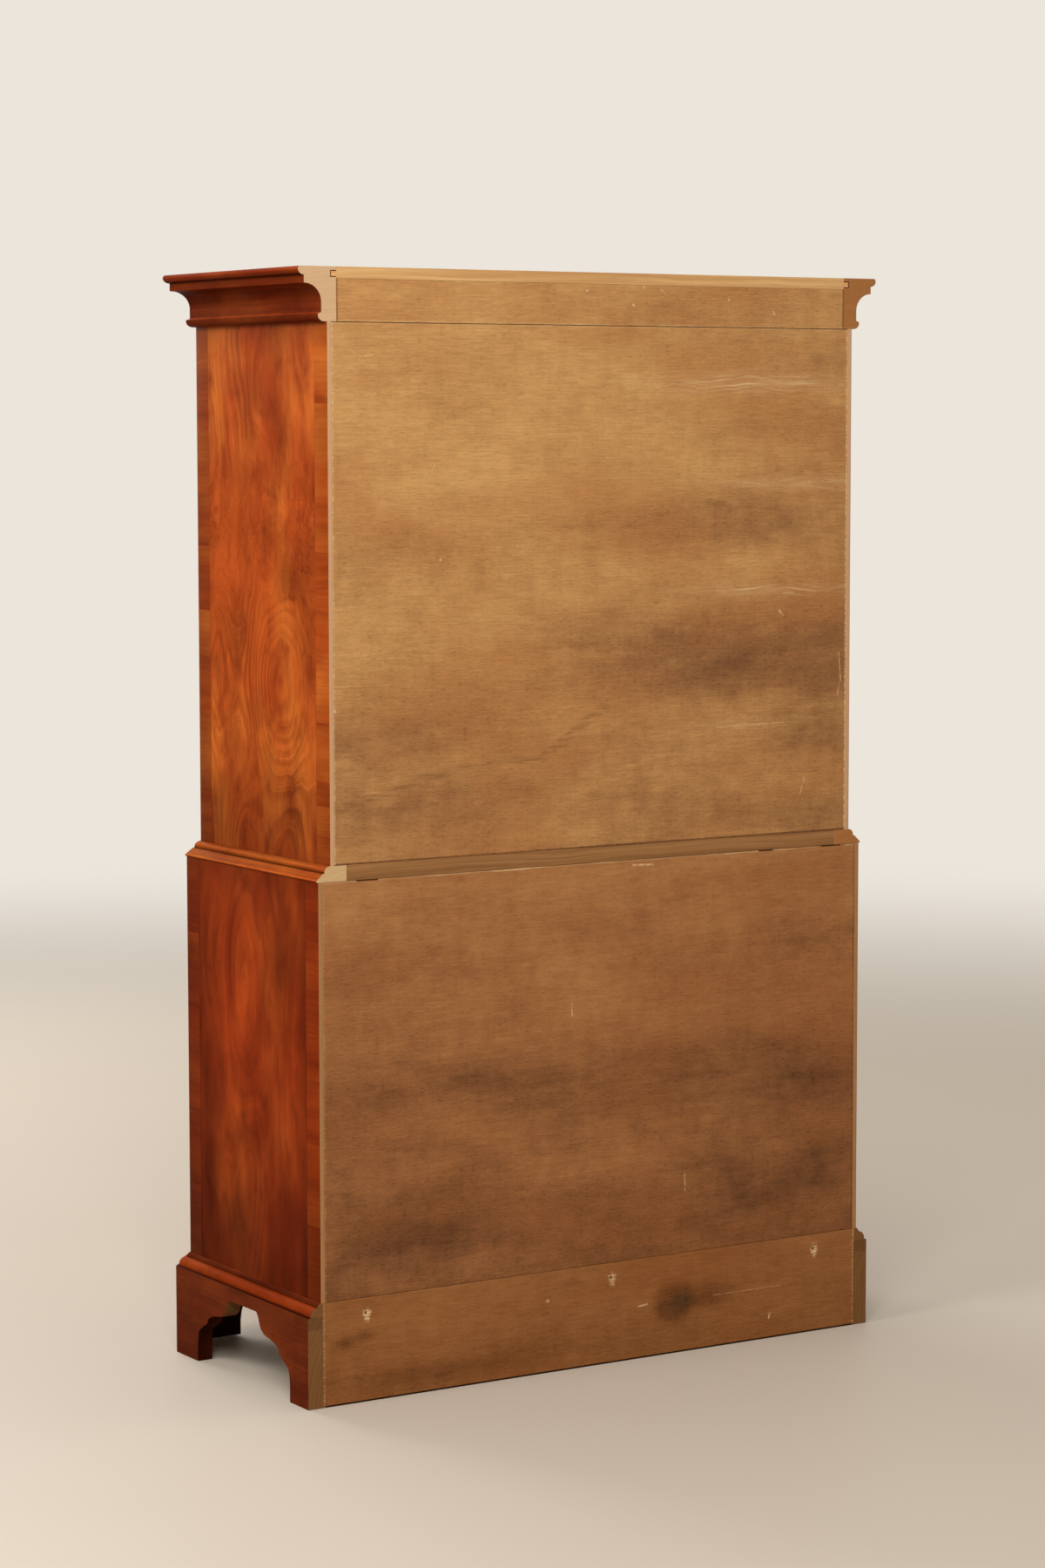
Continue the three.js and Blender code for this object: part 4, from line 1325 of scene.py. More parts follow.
@dataclass(frozen=True)
class Dent:
    """A chipped hole: a dimple with a dark middle and a pale torn rim."""

    x: float
    z: float
    radius: float = 0.0065
    depth: float = 0.0022

    def press(self, x: Array, z: Array) -> tuple[Array, Array, Array]:
        """Works out the hole: its core is a bell beside the middle, and its rim swings with the angle.

        Args:
            x: the points' places across.
            z: their heights.

        Returns:
            How far each point sinks, and what the hole adds to its stain and to its scuffs.
        """
        away = np.hypot(x - self.x, 0.75 * (z - self.z)) / self.radius
        core = np.hypot(x - self.x - 0.3 * self.radius, z - self.z - 0.4 * self.radius) / self.radius
        turn = np.arctan2(z - self.z, x - self.x) + 40 * self.x
        ragged = away * (1 + 0.12 * np.sin(3 * turn) + 0.1 * np.sin(7 * turn))
        torn = 4.0 * np.exp(-(ragged**4)) - 8.0 * np.exp(-((3.4 * core) ** 4))
        return self.depth * np.exp(-((3.0 * core) ** 4)), 1.5 * np.exp(-((3.0 * core) ** 2)), torn


@dataclass
class BackPanel:
    """A back of stained plywood, whose mesh carries the depth of its stain, with painted shade in it, and the
    strength of its scuffs.

    Its finishes are those of the rear face and of the inside. The rims are scuffs along the left, right,
    bottom and top edge, or with a minus dark lines, partly stain and partly painted shade in the joint. A gap
    is the middle and half width of a place where the top edge has come away from the rail, darkened as
    painted shadow.
    The stain deepens down the panel as painted shade, and the foot's tone paints the shadow at the floor.
    """

    node: str
    slot: str
    finishes: Sequence[Material]
    base: float
    fall: float
    blotches: Sequence[Blotch]
    scuffs: Sequence[Blotch] = ()
    dents: Sequence[Dent] = ()
    rims: Sequence[float] = (0.0, 0.0, 0.0, 0.0)
    rim_width: float = 0.0018
    foot_tone: float = 0.0
    cell: float = 0.010
    rise: float = 0.0
    gaps: Sequence[Pair] = ()
    gap_tone: float = -0.8
    arris: float = 0.0006

    def build(self) -> None:
        """Builds a thin box on a fine grid, whose stain is a slope of painted shade, darker down the panel,
        plus the blotches.
        """
        low, high = extent(self.node)
        high[2] += self.rise
        lines = [self._lines(low[axis], high[axis], axis) for axis in (0, 2)]
        corners = box_cells(low, high, self.arris, (lines[0], (), lines[1]))
        inside = corners[..., 1].max(axis=1) < high[1] - 2 * self.arris
        middle, level = corners[..., 0].mean(axis=1), corners[..., 2].mean(axis=1)
        # Painted shadow: where the top edge has come away, its rim takes a dark tone for the shade in the
        # gap.
        at_gap = (level > high[2] - self.rim_width) & self._at_gap(middle)
        # Painted shadow: the bottom rim takes the foot's dark tone, for the contact shadow at the floor.
        tone = np.select([level < low[2] + self.rim_width, at_gap], [self.foot_tone, self.gap_tone], 0.0)
        skin = Skin()
        skin.add(corners, plank_grain(corners, 0)[0], tone, inside.astype(int))
        piece = skin.build(f"{self.node}_plywood", self.finishes)
        points = np.empty(len(piece.data.vertices) * 3, np.float32)
        piece.data.vertices.foreach_get("co", points)
        x, y, z = points.reshape(-1, 3).T
        # Painted shade: the stain deepens towards the bottom, for light that falls off down the panel.
        stain = self.base + self.fall * ((high[2] - z) / (high[2] - low[2]))
        stain = stain + sum((blotch.at(x, z) for blotch in self.blotches), np.zeros_like(x))
        scuff = sum((patch.at(x, z) for patch in self.scuffs), np.zeros_like(x))
        rear = y > high[1] - 2 * self.arris
        for dent in self.dents:
            depth, darker, torn = dent.press(x, z)
            y -= rear * depth
            stain += darker
            scuff += torn
        # Rims below zero add a dark line, partly stain and partly painted shade in the joint; above zero,
        # scuffs.
        for strength, inward in zip(self.rims, (x - low[0], high[0] - x, z - low[2], high[2] - z)):
            near = inward < self.rim_width + WELD
            scuff += max(strength, 0) * near
            stain += max(-strength, 0) * near
        scuff -= 8.0 * self._at_gap(x)
        piece.data.vertices.foreach_set("co", np.stack([x, y, z], axis=-1).ravel())
        write(piece.data, STAIN_AND_SHADE, stain)
        write(piece.data, SCUFF, scuff)
        place(piece, CARCASE, self.slot, self.node)

    def _lines(self, low: float, high: float, axis: int) -> Array:
        """Gives evenly spaced stations, closer together at each dent and just inside both rims.

        Args:
            low: the lowest station.
            high: the highest station.
            axis: the axis that they lie on.

        Returns:
            The stations.
        """
        near = np.linspace(-1.4, 1.4, 13)
        close = [(dent.x if axis == 0 else dent.z) + dent.radius * near for dent in self.dents]
        rim = self.rim_width * np.array([1.0, 1.6])
        even = np.linspace(low, high, round((high - low) / self.cell))
        return np.unique(np.concatenate([even, *close, low + rim, high - rim]).round(6))

    def _at_gap(self, x: Array) -> Array:
        """Tells which stations lie where the top edge has come away from the rail."""
        return np.any([np.abs(x - middle) < reach for middle, reach in self.gaps], axis=0)


@dataclass
class Moulding:
    """A moulded frame round the sides and the canted front: one profile carried round the plan.

    Its finishes are those of the faces, the right rear end, the hidden faces and the left rear end. The
    painted light bands hold from, to and tone for bands of its height: painted highlights on the rounds and
    painted shade in the hollows and necks. A notch in its rear ends takes a back board.
    """

    node: str
    plan: Plan
    finishes: Sequence[Material]
    out: float
    member: float
    toning: Sequence[tuple[float, float, float]]
    notch_out: float | None = None
    notch_depth: float = 0.0203
    arris: float = 0.0005
    seed: int = 11
    run_spread: tuple[float, float, float] = (1, 1, 0.06)

    def __post_init__(self) -> None:
        """Reads the foot's and the top's height, and works out where the inner face stands."""
        self.bottom, self.top = (corner[2] for corner in extent(self.node))
        self.inner = self.out - self.member

    def profile(self) -> Array:
        """Gives the profile's points of distance out and height, for the subclass to define."""
        raise NotImplementedError

    def build(self) -> None:
        """Sweeps the softened profile; each run has its own grain, which follows the run."""
        ring = closed(soften(self.profile(), self.arris))
        girth = girth_of(ring)
        grid = self.plan.carry(ring)
        inner = ring[:, 0] < ring[:, 0].min() + self.arris * 2
        hidden = inner[:-1] & inner[1:]
        # Painted light: each profile segment takes its height band's tone, lighter on rounds, darker in
        # hollows.
        rise = (ring[:-1, 1] + ring[1:, 1]) / 2 - self.bottom
        painted_light = sum((tone * ((rise > low) & (rise < high)) for low, high, tone in self.toning),
                      np.zeros(len(rise)))
        random = np.random.default_rng(self.seed)
        skin = Skin()
        for run in range(5):
            strip = grid[run : run + 2]
            direction = unit(strip[1, 0] - strip[0, 0])
            shift, girth_shift, tone = random.uniform((0, 0, -self.run_spread[2]), self.run_spread)
            along = strip @ direction + 4 * run + shift
            grain = np.stack([along, np.broadcast_to(girth + girth_shift, along.shape)], axis=-1)
            self._run(skin, strip, grain, tone + painted_light, np.where(hidden, 2, 0))
        for end in BOTH_ENDS:
            self._end(skin, grid[end, :-1])
        place(skin.build(f"{self.node}_moulded", self.finishes), CARCASE, "case_veneer", self.node)

    def _run(self, skin: Skin, strip: Array, grain: Array, tone: Array, finish: Array) -> None:
        """Adds one straight run, whose rear end is stepped where the plinth's rear board fits in.

        Args:
            skin: the skin that takes the run.
            strip: the run's two rings of points.
            grain: their grain coordinates.
            tone: the cells' tones.
            finish: the cells' material indices.
        """
        notched = self.notch_out is not None
        rear = [end for end in (0, 1) if notched and strip[end, 0, 1] > self.plan.back - WELD]
        main, main_grain = strip.copy(), grain.copy()
        for end in rear:
            main[end, :, 1] -= self.notch_depth
            main_grain[end, :, 0] -= np.sign(grain[end, :, 0] - grain[1 - end, :, 0]) * self.notch_depth
        skin.add(cells_of(main), cells_of(main_grain), tone, finish)
        for end in rear:
            outer = np.abs(strip[end, :, 0]) > self.plan.half_width + self.notch_out - WELD
            kept = outer[:-1] & outer[1:]
            tail, tail_grain = np.stack([strip[end], main[end]]), np.stack([grain[end], main_grain[end]])
            skin.add(cells_of(tail)[kept], cells_of(tail_grain)[kept], tone[kept], finish[kept])

    def _end(self, skin: Skin, loop: Array) -> None:
        """Closes a rear end with end grain: one flat face, or two faces and the step between them.

        Args:
            skin: the skin that takes the faces.
            loop: the end's outline.
        """
        finish = 3 if loop[0, 0] < 0 else 1
        if self.notch_out is None:
            skin.cap(loop, (2, 0), 0.0, finish)
            return
        notch_x, back = self.plan.half_width + self.notch_out, np.array([0, self.notch_depth, 0])
        reach = np.abs(loop[:, 0])
        outer = loop[reach > notch_x - WELD]
        within = reach < notch_x + WELD
        turn = int(np.argmin(within))
        at_step = outer[np.abs(np.abs(outer[:, 0]) - notch_x) < WELD]
        skin.cap(outer, (2, 0), 0.0, finish)
        skin.cap(np.roll(loop, -turn, axis=0)[np.roll(within, -turn)] - back, (2, 0), 0.0, 2)
        skin.cap(np.concatenate([at_step, at_step[::-1] - back]), (1, 2), 0.0, 2)


@dataclass
class Cornice(Moulding):
    """The cornice: a thumb moulding, a fillet, a cove, a neck and a sloping foot, grooved for the top."""

    out: float = 0.050
    member: float = 0.0673
    # Painted light by height: highlights on the low member's top and the thumb's crown, shade in neck and
    # cove.
    toning: Sequence[tuple[float, float, float]] = (
        (0.0, 0.012, -0.42), (0.012, 0.0148, 0.45), (0.0148, 0.0165, -0.5), (0.0165, 0.030, -0.25),
        (0.030, 0.0586, -0.34), (0.0586, 0.0710, -0.3), (0.0710, 0.0738, -0.62), (0.0738, 0.0800, -0.15),
        (0.0800, 0.0849, 0.3),
    )
    thumb_reach: float = 0.0104
    thumb_drop: float = 0.0136
    thumb_nose: float = 0.0045
    fillet_drop: float = 0.0124
    cove_lip: float = 0.001
    cove_drop: float = 0.029
    neck_out: float = 0.0093
    low_height: float = 0.014
    low_out: float = 0.0153
    low_nose: float = 0.0044
    low_foot: float = 0.0045
    groove_width: float = 0.0105
    groove_height: float = 0.011
    groove_drop: float = 0.0055

    def profile(self) -> Array:
        """Runs from the inner foot out and up over the members, and back through the groove.

        Returns:
            Points of distance out and height.
        """
        inner, bottom, top, nose, foot = self.inner, self.bottom, self.top, self.thumb_nose, self.low_foot
        fillet_out = self.out - self.thumb_reach
        cove_top = top - self.thumb_drop - self.fillet_drop
        cove_out, cove_low = fillet_out - self.cove_lip, cove_top - self.cove_drop
        neck, low_radii = bottom + self.low_height, (self.low_out - foot, self.low_height - self.low_nose)
        groove_top, groove_out = top - self.groove_drop, inner + self.groove_width
        return np.concatenate([
            [(inner, bottom), (foot, bottom)],
            arc((foot, neck - self.low_nose), low_radii, -1, 0, 10),
            [(self.low_out, neck - self.low_nose / 2), (self.neck_out, neck)],
            arc((cove_out, cove_low), (cove_out - self.neck_out, self.cove_drop), 2, 1, 24),
            [(fillet_out, cove_top)],
            arc((fillet_out, top - nose), (self.thumb_reach, self.thumb_drop - nose), -1, 0, 16),
            arc((self.out - nose, top - nose), (nose, nose), 0, 1, 10)[1:],
            [(inner, top), (inner, groove_top), (groove_out, groove_top)],
            [(groove_out, groove_top - self.groove_height), (inner, groove_top - self.groove_height)],
        ])


@dataclass
class WaistFrame(Moulding):
    """The waist moulding between the cases: a bead, a reeded slope, a fillet and a quarter round."""

    out: float = 0.0245
    member: float = 0.0545
    # Painted light by height: highlights on the bead and the quarter round, shade in the groove under the
    # fillet.
    toning: Sequence[tuple[float, float, float]] = (
        (0.0, 0.0026, 0.1), (0.0026, 0.0042, 0.9), (0.0042, 0.0132, 0.34), (0.0132, 0.0156, -0.5),
        (0.0156, 0.0185, 0.1), (0.0185, 0.0225, 0.6), (0.0225, 0.0249, 0.2),
    )
    bead: float = 0.0040
    fillet: float = 0.0015
    quarter: float = 0.010
    step: float = 0.002
    reeds: int = 3
    reed_rise: float = 0.0007

    def profile(self) -> Array:
        """Runs round the bead, up a slope that swells at each reed, and over the quarter.

        Returns:
            Points of distance out and height.
        """
        middle, round_low = self.out - self.step, self.top - self.quarter
        foot = np.array([middle, self.bottom + self.bead])
        head = np.array([self.quarter + self.step, round_low - self.fillet])
        share = np.linspace(0, 1, 6 * self.reeds + 1)[:, None]
        across = unit(head - foot)[::-1] * np.array([1, -1])
        swell = self.reed_rise * np.abs(np.sin(np.pi * self.reeds * share))
        slope = foot + share * (head - foot) + swell * across
        return np.concatenate([
            [(self.inner, self.bottom)],
            arc((middle, self.bottom + self.bead / 2), (self.step, self.bead / 2), -1, 1, 14),
            slope[1:],
            [(self.quarter, round_low - self.fillet / 2)],
            arc((0, round_low), (self.quarter, self.quarter), 0, 1, 16),
            [(self.inner, self.top)],
        ])


@dataclass
class BaseFrame(Moulding):
    """The moulding under the lower case: a square edge, a quarter round, a neck and a slope."""

    out: float = 0.040
    member: float = 0.055
    # Painted light by height: darker on the square edge and much darker in the neck, as painted shade.
    toning: Sequence[tuple[float, float, float]] = (
        (0.0001, 0.0030, -0.3), (0.0030, 0.0152, -0.06), (0.0152, 0.0219, -0.6),
    )
    notch_out: float = 0.018
    edge: float = 0.003
    quarter: float = 0.0125
    slope: float = 0.004
    slope_out: float = 0.024

    def profile(self) -> Array:
        """Runs from the inner foot out and up over the quarter round to the slope.

        Returns:
            Points of distance out and height.
        """
        bottom, top, flat = self.bottom, self.top, self.out - self.quarter
        return np.concatenate([
            [(self.inner, bottom), (self.notch_out, bottom), (self.out, bottom)],
            arc((flat, bottom + self.edge), (self.quarter, self.quarter), 0, 1, 16),
            [(flat, top - self.slope), (self.slope_out, top), (self.notch_out, top), (self.inner, top)],
        ])


@dataclass
class Board:
    """A plain rectangular board that fills its node's box, with eased arrises."""

    node: str
    along: int
    finishes: Sequence[Material]
    slot: str
    reach: float = 0.0007

    def build(self) -> None:
        """Builds the rounded box with grain along its length."""
        skin = Skin()
        skin.plank(box_cells(*extent(self.node), self.reach), self.along)
        place(skin.build(f"{self.node}_plain", self.finishes), CARCASE, self.slot, self.node)


@dataclass
class TopBoard:
    """The top: a board inside the cornice with a tongue in its groove."""

    plan: Plan
    finishes: Sequence[Material]
    board_out: float = -0.0176
    tongue_out: float = -0.0071
    tongue_low: float = -0.0162
    tongue_high: float = -0.0058
    glue: float = 0.0014
    glue_tone: float = -0.4
    end_tone: float = 0.25
    shift: Pair = (0.3, 0.6)

    def build(self) -> None:
        """Pushes the six-cornered plan up, and carries the tongue's section round its edge."""
        low, high = extent("top_board")
        skin = Skin()
        board = self.plan.corners(np.array([self.board_out]))[:, 0]
        skin.prism(board, (low[2], high[2]), (0, 1, 2), 0, self.shift, (1, 1))
        skin.caps[-1] = (*skin.caps[-1][:3], 0)
        foot, top, rim = high[2] + self.tongue_low, high[2] + self.tongue_high, self.glue
        inner, outer = self.board_out, self.tongue_out
        tongue = self.plan.carry(np.array([
            (inner, foot), (outer, foot), (outer, top), (inner, top), (inner, top - rim),
            (inner, foot + rim), (inner, foot),
        ]))
        skin.wrap(tongue, (0, 1), 0.0, 1)
        for end in BOTH_ENDS:
            loop = tongue[end, :-1]
            inward = -np.sign(loop[0, 0]) * rim
            points = np.concatenate([loop, loop[[1, 2]] + np.array([(inward, 0, rim), (inward, 0, -rim)])])
            for face in ([0, 1, 6, 5], [1, 2, 7, 6], [2, 3, 4, 7]):
                skin.cap(points[face], (0, 2), self.glue_tone, 0)
            skin.cap(points[[5, 6, 7, 4]], (0, 2), self.end_tone, 1)
        place(skin.build("top_board_polished", self.finishes), CARCASE, "inner_wood", "top_board")


@dataclass
class Bracket:
    """The bracket base: boards cut to a stepped ogee arch between their feet.

    Its finishes are those of the outer face, the arch's edge, bare cuts and the inner face, which is painted
    shade.
    The stretches are knots of a bracket's edge from the floor up, in shares of its reach and of the arch's
    height.
    """

    plan: Plan
    finishes: Sequence[Material]
    out: float = 0.045
    thickness: float = 0.027
    arch_height: float = 0.125
    rear_foot: float = 0.0615
    front_foot: float = 0.078
    reach: float = 0.1125
    lift: float = 0.004
    joint: float = 0.128
    glue_line: float = 0.0001
    edge_tone: float = -0.66
    cut_tone: float = -0.3
    joint_tone: float = -0.2
    bare_share: float = 0.74
    arris: float = 0.0008
    stretches: tuple[tuple[Pair, ...], ...] = (
        ((0, 0), (0, 0.24)),
        ((0, 0.24), (0.04, 0.41), (0.15, 0.485), (0.3, 0.56)),
        ((0.3, 0.56), (0.35, 0.64)),
        ((0.35, 0.64), (0.5, 0.695), (0.76, 0.735)),
        ((0.76, 0.735), (0.88, 0.81), (0.94, 0.93), (1, 1)),
    )

    def arch(self, start: float, stop: float) -> Array:
        """Gives the arch between two feet, from floor to floor: a curve through each stretch's knots.

        Args:
            start: where the first foot ends.
            stop: where the second foot begins.

        Returns:
            Points of distance along and height.
        """
        parts = [np.array(self.stretches[0][:1], float)]
        for stretch in self.stretches:
            knots = np.array(stretch, float)
            parts.append(smooth_through(knots, 8)[1:] if len(knots) > 2 else knots[1:])
        rising = np.concatenate(parts) * np.array([self.reach, self.arch_height])
        return np.concatenate([rising + np.array([start, 0]),
                               rising[::-1] * np.array([-1, 1]) + np.array([stop, 0])])

    def slab(self, skin: Skin, outline: Array, origin: Array, direction: Array, side: int,
             mitres: tuple[bool, bool], shift: float) -> None:
        """Adds an upright board: its outline on the outer face, and the same drawn in at mitred ends behind.

        Args:
            skin: the skin that takes the board.
            outline: points of shape (n, 2), distance along and height.
            origin: plan point where the distance is zero, on the outer face.
            direction: plan direction of the distance.
            side: one where the outer face looks to that direction's right, or minus one.
            mitres: whether the start and the end are mitred.
            shift: where on the log the board was cut.
        """
        outward = side * np.array([direction[1], -direction[0]])
        distance = outline[:, 0]
        inner = outline.copy()
        inner[:, 0] += self.thickness * MITRE * (mitres[0] & (distance < distance.min() + WELD))
        inner[:, 0] -= self.thickness * MITRE * (mitres[1] & (distance > distance.max() - WELD))
        layers = (outline, 0.0), (inner, self.thickness)
        loops = [over(origin + points[:, :1] * direction - depth * outward, points[:, 1])
                 for points, depth in layers]
        edge = cells_of(np.stack([closed(loop) for loop in loops]))
        girth = girth_of(closed(outline))
        grain = np.stack([np.stack([girth, np.full_like(girth, depth)], axis=-1) for _, depth in layers])
        at_rear = (np.abs(edge[..., 1] - self.plan.back) < 10 * WELD).all(axis=1)
        level = edge[..., 2].mean(axis=1)
        cut = (level / self.arch_height > self.bare_share) & (level / self.arch_height < 1 - WELD)
        masks = [at_rear & (level > self.joint), at_rear, cut]
        tone = np.select(masks, [self.joint_tone, 0.0, self.cut_tone], self.edge_tone)
        grain = np.where(at_rear[:, None, None], edge[..., [2, 0]], cells_of(grain))
        skin.add(edge, grain, tone, np.where(at_rear | cut, 2, 1))
        skin.cap(loops[0], outline + shift, 0.0, 0)
        skin.cap(loops[1], inner + shift, 0.0, 3)

    def build(self) -> None:
        """Builds the two side boards, and the front board with its canted ends."""
        corners = self.plan.corners(np.array([self.out]))[:, 0]
        height = extent("plinth_left")[1][2]
        for hand, corner in ((Hand.LEFT, corners[1]), (Hand.RIGHT, corners[4])):
            length = self.plan.back - corner[1]
            arch = self.arch(self.front_foot, length - self.rear_foot)
            outline = np.concatenate([[(0, 0)], arch,
                                      [(length, 0), (length, self.joint), (length, height), (0, height)]])
            skin = Skin()
            self.slab(skin, outline, corner, np.array([0, 1.0]), hand.value, (True, False), 3.0 * hand.value)
            self._finish(skin, f"plinth_{hand.name.lower()}")
        skin = Skin()
        for start in (1, 2, 3):
            run = corners[start + 1] - corners[start]
            length = float(np.linalg.norm(run))
            outline = np.array([(0, 0), (length, 0), (length, height), (0, height)])
            if start == 2:
                arch = self.arch(self.front_foot, length - self.front_foot)
                arch[:, 1] = np.maximum(arch[:, 1], self.lift)
                top = height - self.glue_line
                outline = np.concatenate([[(0, self.lift)], arch,
                                          [(length, self.lift), (length, top), (0, top)]])
            self.slab(skin, outline, corners[start], run / length, 1, (True, True), 7.0 * start)
        self._finish(skin, "plinth_front")

    def _finish(self, skin: Skin, node: str) -> None:
        """Builds one board and lets it stand for its node."""
        place(skin.build(f"{node}_bracket", self.finishes, self.arris), CARCASE, "corner_veneer", node)


@dataclass
class CaseBoards:
    """The boards across a case, with the drawer guides: polished front edges, and bare wood behind."""

    prefix: str
    finishes: Sequence[Material]
    guide_height: float = 0.012
    polished_depth: float = 0.002
    rear_gap: float = 0.0003
    reach: float = 0.0006
    arris: float = 0.0005

    def build(self) -> None:
        """Builds the bottom, dust boards and top: each is its plan pushed up, with a guide at each side."""
        inner_x = extent(f"{self.prefix}_right_side")[0][0]
        (open_x, front_y, _), (_, post_y, _) = extent(f"{self.prefix}_right_post")
        top_low, top_high = extent(f"{self.prefix}_top")
        names = [name for name in sorted(frame["nodes"]) if name.startswith(self.prefix + "_")
                 and (name.endswith(("_bottom", "_top")) or "dust_board" in name)]
        for order, node in enumerate(names):
            low, high = extent(node)
            rear = min(high[1], extent(f"{self.prefix}_back")[0][1] - self.rear_gap)
            half = [(open_x, front_y), (open_x, post_y), (inner_x, post_y), (inner_x, rear)]
            outline = np.array([(-x, y) for x, y in reversed(half)] + half)
            top = low[2] + float(top_high[2] - top_low[2])
            skin = Skin()
            corners = skin.prism(outline, (low[2], top), (0, 1, 2), 0, (0.7 * order, 0.4 * order), (1, 2))
            in_front = corners[..., 1].max(axis=1) < front_y + self.polished_depth
            skin.finish[-1] = np.where(in_front, 0, skin.finish[-1])
            for hand in () if node.endswith("_top") else Hand:
                edges = sorted((hand.value * open_x, hand.value * inner_x))
                guide_low, guide_high = (edges[0], post_y, top), (edges[1], rear, top + self.guide_height)
                guide = box_cells(guide_low, guide_high, self.reach)
                skin.plank(guide, 1, (0.3 * hand.value, order), finishes=(1, 2))
            place(skin.build(f"{node}_panel", self.finishes, self.arris), CARCASE, "inner_wood", node)


@dataclass
class BailHandle:
    """A bail handle: two turned posts on rosettes, and a bent bar that swings in them.

    The turning is in shares of the rosette's radius and of the posts' reach. The bar's knots run from the
    post to the middle: the collar's are lengths, the swell's are shares of the shoulder and of the drop,
    and the grip's are shares of half the span and of the drop.
    """

    bail: str
    middle: Array
    span: float = 0.076
    drop: float = 0.038
    shoulder: float = 0.010
    post_reach: float = 0.015
    head: float = 0.0058
    rosette: float = 0.0125
    thin: float = 0.0023
    thick: float = 0.0034
    sides: int = 40
    turning: tuple[Pair, ...] = (
        (1.0, 0.0), (1.0, 0.035), (0.96, 0.075), (0.86, 0.095), (0.84, 0.075), (0.78, 0.075), (0.72, 0.12),
        (0.62, 0.165), (0.5, 0.19), (0.44, 0.2), (0.4, 0.24), (0.34, 0.3), (0.28, 0.38), (0.27, 0.46),
    )
    collar: tuple[Pair, ...] = ((-0.003, 0.0), (0.002, 0.0), (0.0064, -0.0002))
    swell: tuple[Pair, ...] = ((1.0, 0.075), (1.22, 0.3), (0.62, 0.64))
    grip: tuple[Pair, ...] = ((0.78, 0.91), (0.4, 0.985))

    def add_posts(self, skin: Skin) -> None:
        """Turns both rosettes and posts about lines that run forward from the drawer's face.

        Args:
            skin: the skin that takes them.
        """
        foot = np.array(self.turning) * np.array([self.rosette, self.post_reach])
        ball = arc((0, self.post_reach), (self.head, self.head), -0.62, 1, 18)
        profile = np.concatenate([[(0, 0)], foot, ball])
        profile[-1, 0] = 0
        radius, height = profile.T[..., None]
        turn = round_turn(self.sides)
        for side in (-1, 1):
            x = self.middle[0] + side * self.span / 2
            y = np.broadcast_to(self.middle[1] - height, (len(profile), len(turn)))
            z = self.middle[2] + radius * np.sin(turn)
            skin.wrap(np.stack([x + radius * np.cos(turn), y, z], axis=-1))

    def build_bail(self, finish: Material) -> None:
        """Bends the bar: a tube along a smooth curve beside the drawer's face, thicker at the hand.

        Args:
            finish: the bar's material.
        """
        half = self.span / 2
        right = np.concatenate([
            np.array(self.collar) + (half, 0),
            np.array(self.swell) * (self.shoulder, -self.drop) + (half, 0),
            np.array(self.grip) * (half, -self.drop),
        ])
        path = smooth_through(np.concatenate([right, [(0, -self.drop)], right[::-1] * (-1, 1)]), 10)
        slope = np.gradient(path, axis=0)
        slope /= np.linalg.norm(slope, axis=1, keepdims=True)
        aside = np.stack([-slope[:, 1], slope[:, 0]], axis=-1)
        hand = np.clip(1 - np.abs(path[:, 0]) / (0.75 * half), 0, 1)
        swell = hand * hand * (3 - 2 * hand) * (path[:, 1] < -0.5 * self.drop)
        radius = self.thin + (self.thick - self.thin) * swell
        turn = round_turn(16)
        flat = path[:, None] + radius[:, None, None] * np.cos(turn)[None, :, None] * aside[:, None]
        depth = self.middle[1] - self.post_reach + radius[:, None] * np.sin(turn)
        grid = np.stack([self.middle[0] + flat[..., 0], depth, self.middle[2] + flat[..., 1]], axis=-1)
        skin = Skin()
        skin.wrap(grid)
        skin.close(grid)
        place(skin.build(f"{self.bail}_bar", [finish]), self.bail, "brass", self.bail)


@dataclass
class Escutcheon:
    """A thread escutcheon: a thin brass rim that follows the keyhole's outline round a dark plate."""

    middle: Array
    radius: float = 0.0036
    slot_half: float = 0.0019
    slot_drop: float = 0.0105
    rim: float = 0.0013
    proud: float = 0.0007
    plate_proud: float = 0.00015
    lap: float = 0.0002

    def outline(self, grow: float, out: float) -> Array:
        """Gives the keyhole's closed outline: a round top over a slot with a round foot.

        Args:
            grow: the width that it is grown by.
            out: how far it stands in front of the drawer's face.

        Returns:
            Points of shape (n, 3).
        """
        radius, half = self.radius + grow, self.slot_half + grow
        lean = math.acos(min(1.0, half / radius))
        top, foot = np.linspace(-lean, math.pi + lean, 25), np.linspace(math.pi, FULL_TURN, 13)
        x = np.concatenate([radius * np.cos(top), half * np.cos(foot)])
        z = np.concatenate([radius * np.sin(top), half * np.sin(foot) - self.slot_drop])
        return closed(np.stack([x, np.full_like(x, -out), z], axis=-1) + self.middle)

    def add(self, skin: Skin) -> None:
        """Adds the rim, whose section is a low ridge, and the dark plate inside it.

        Args:
            skin: the skin that takes them.
        """
        rim, proud = self.rim, self.proud
        section = (0, 0), (0, proud), (rim * 0.5, proud * 1.25), (rim, proud * 0.6), (rim, 0), (0, 0)
        skin.wrap(np.stack([self.outline(grow, out) for grow, out in section]))
        plate = np.stack([self.outline(self.lap, out) for out in (-self.lap, self.plate_proud)])
        skin.wrap(plate, (0, 2), 0.0, 1)
        skin.close(plate, (0, 2), 0.0, 1)


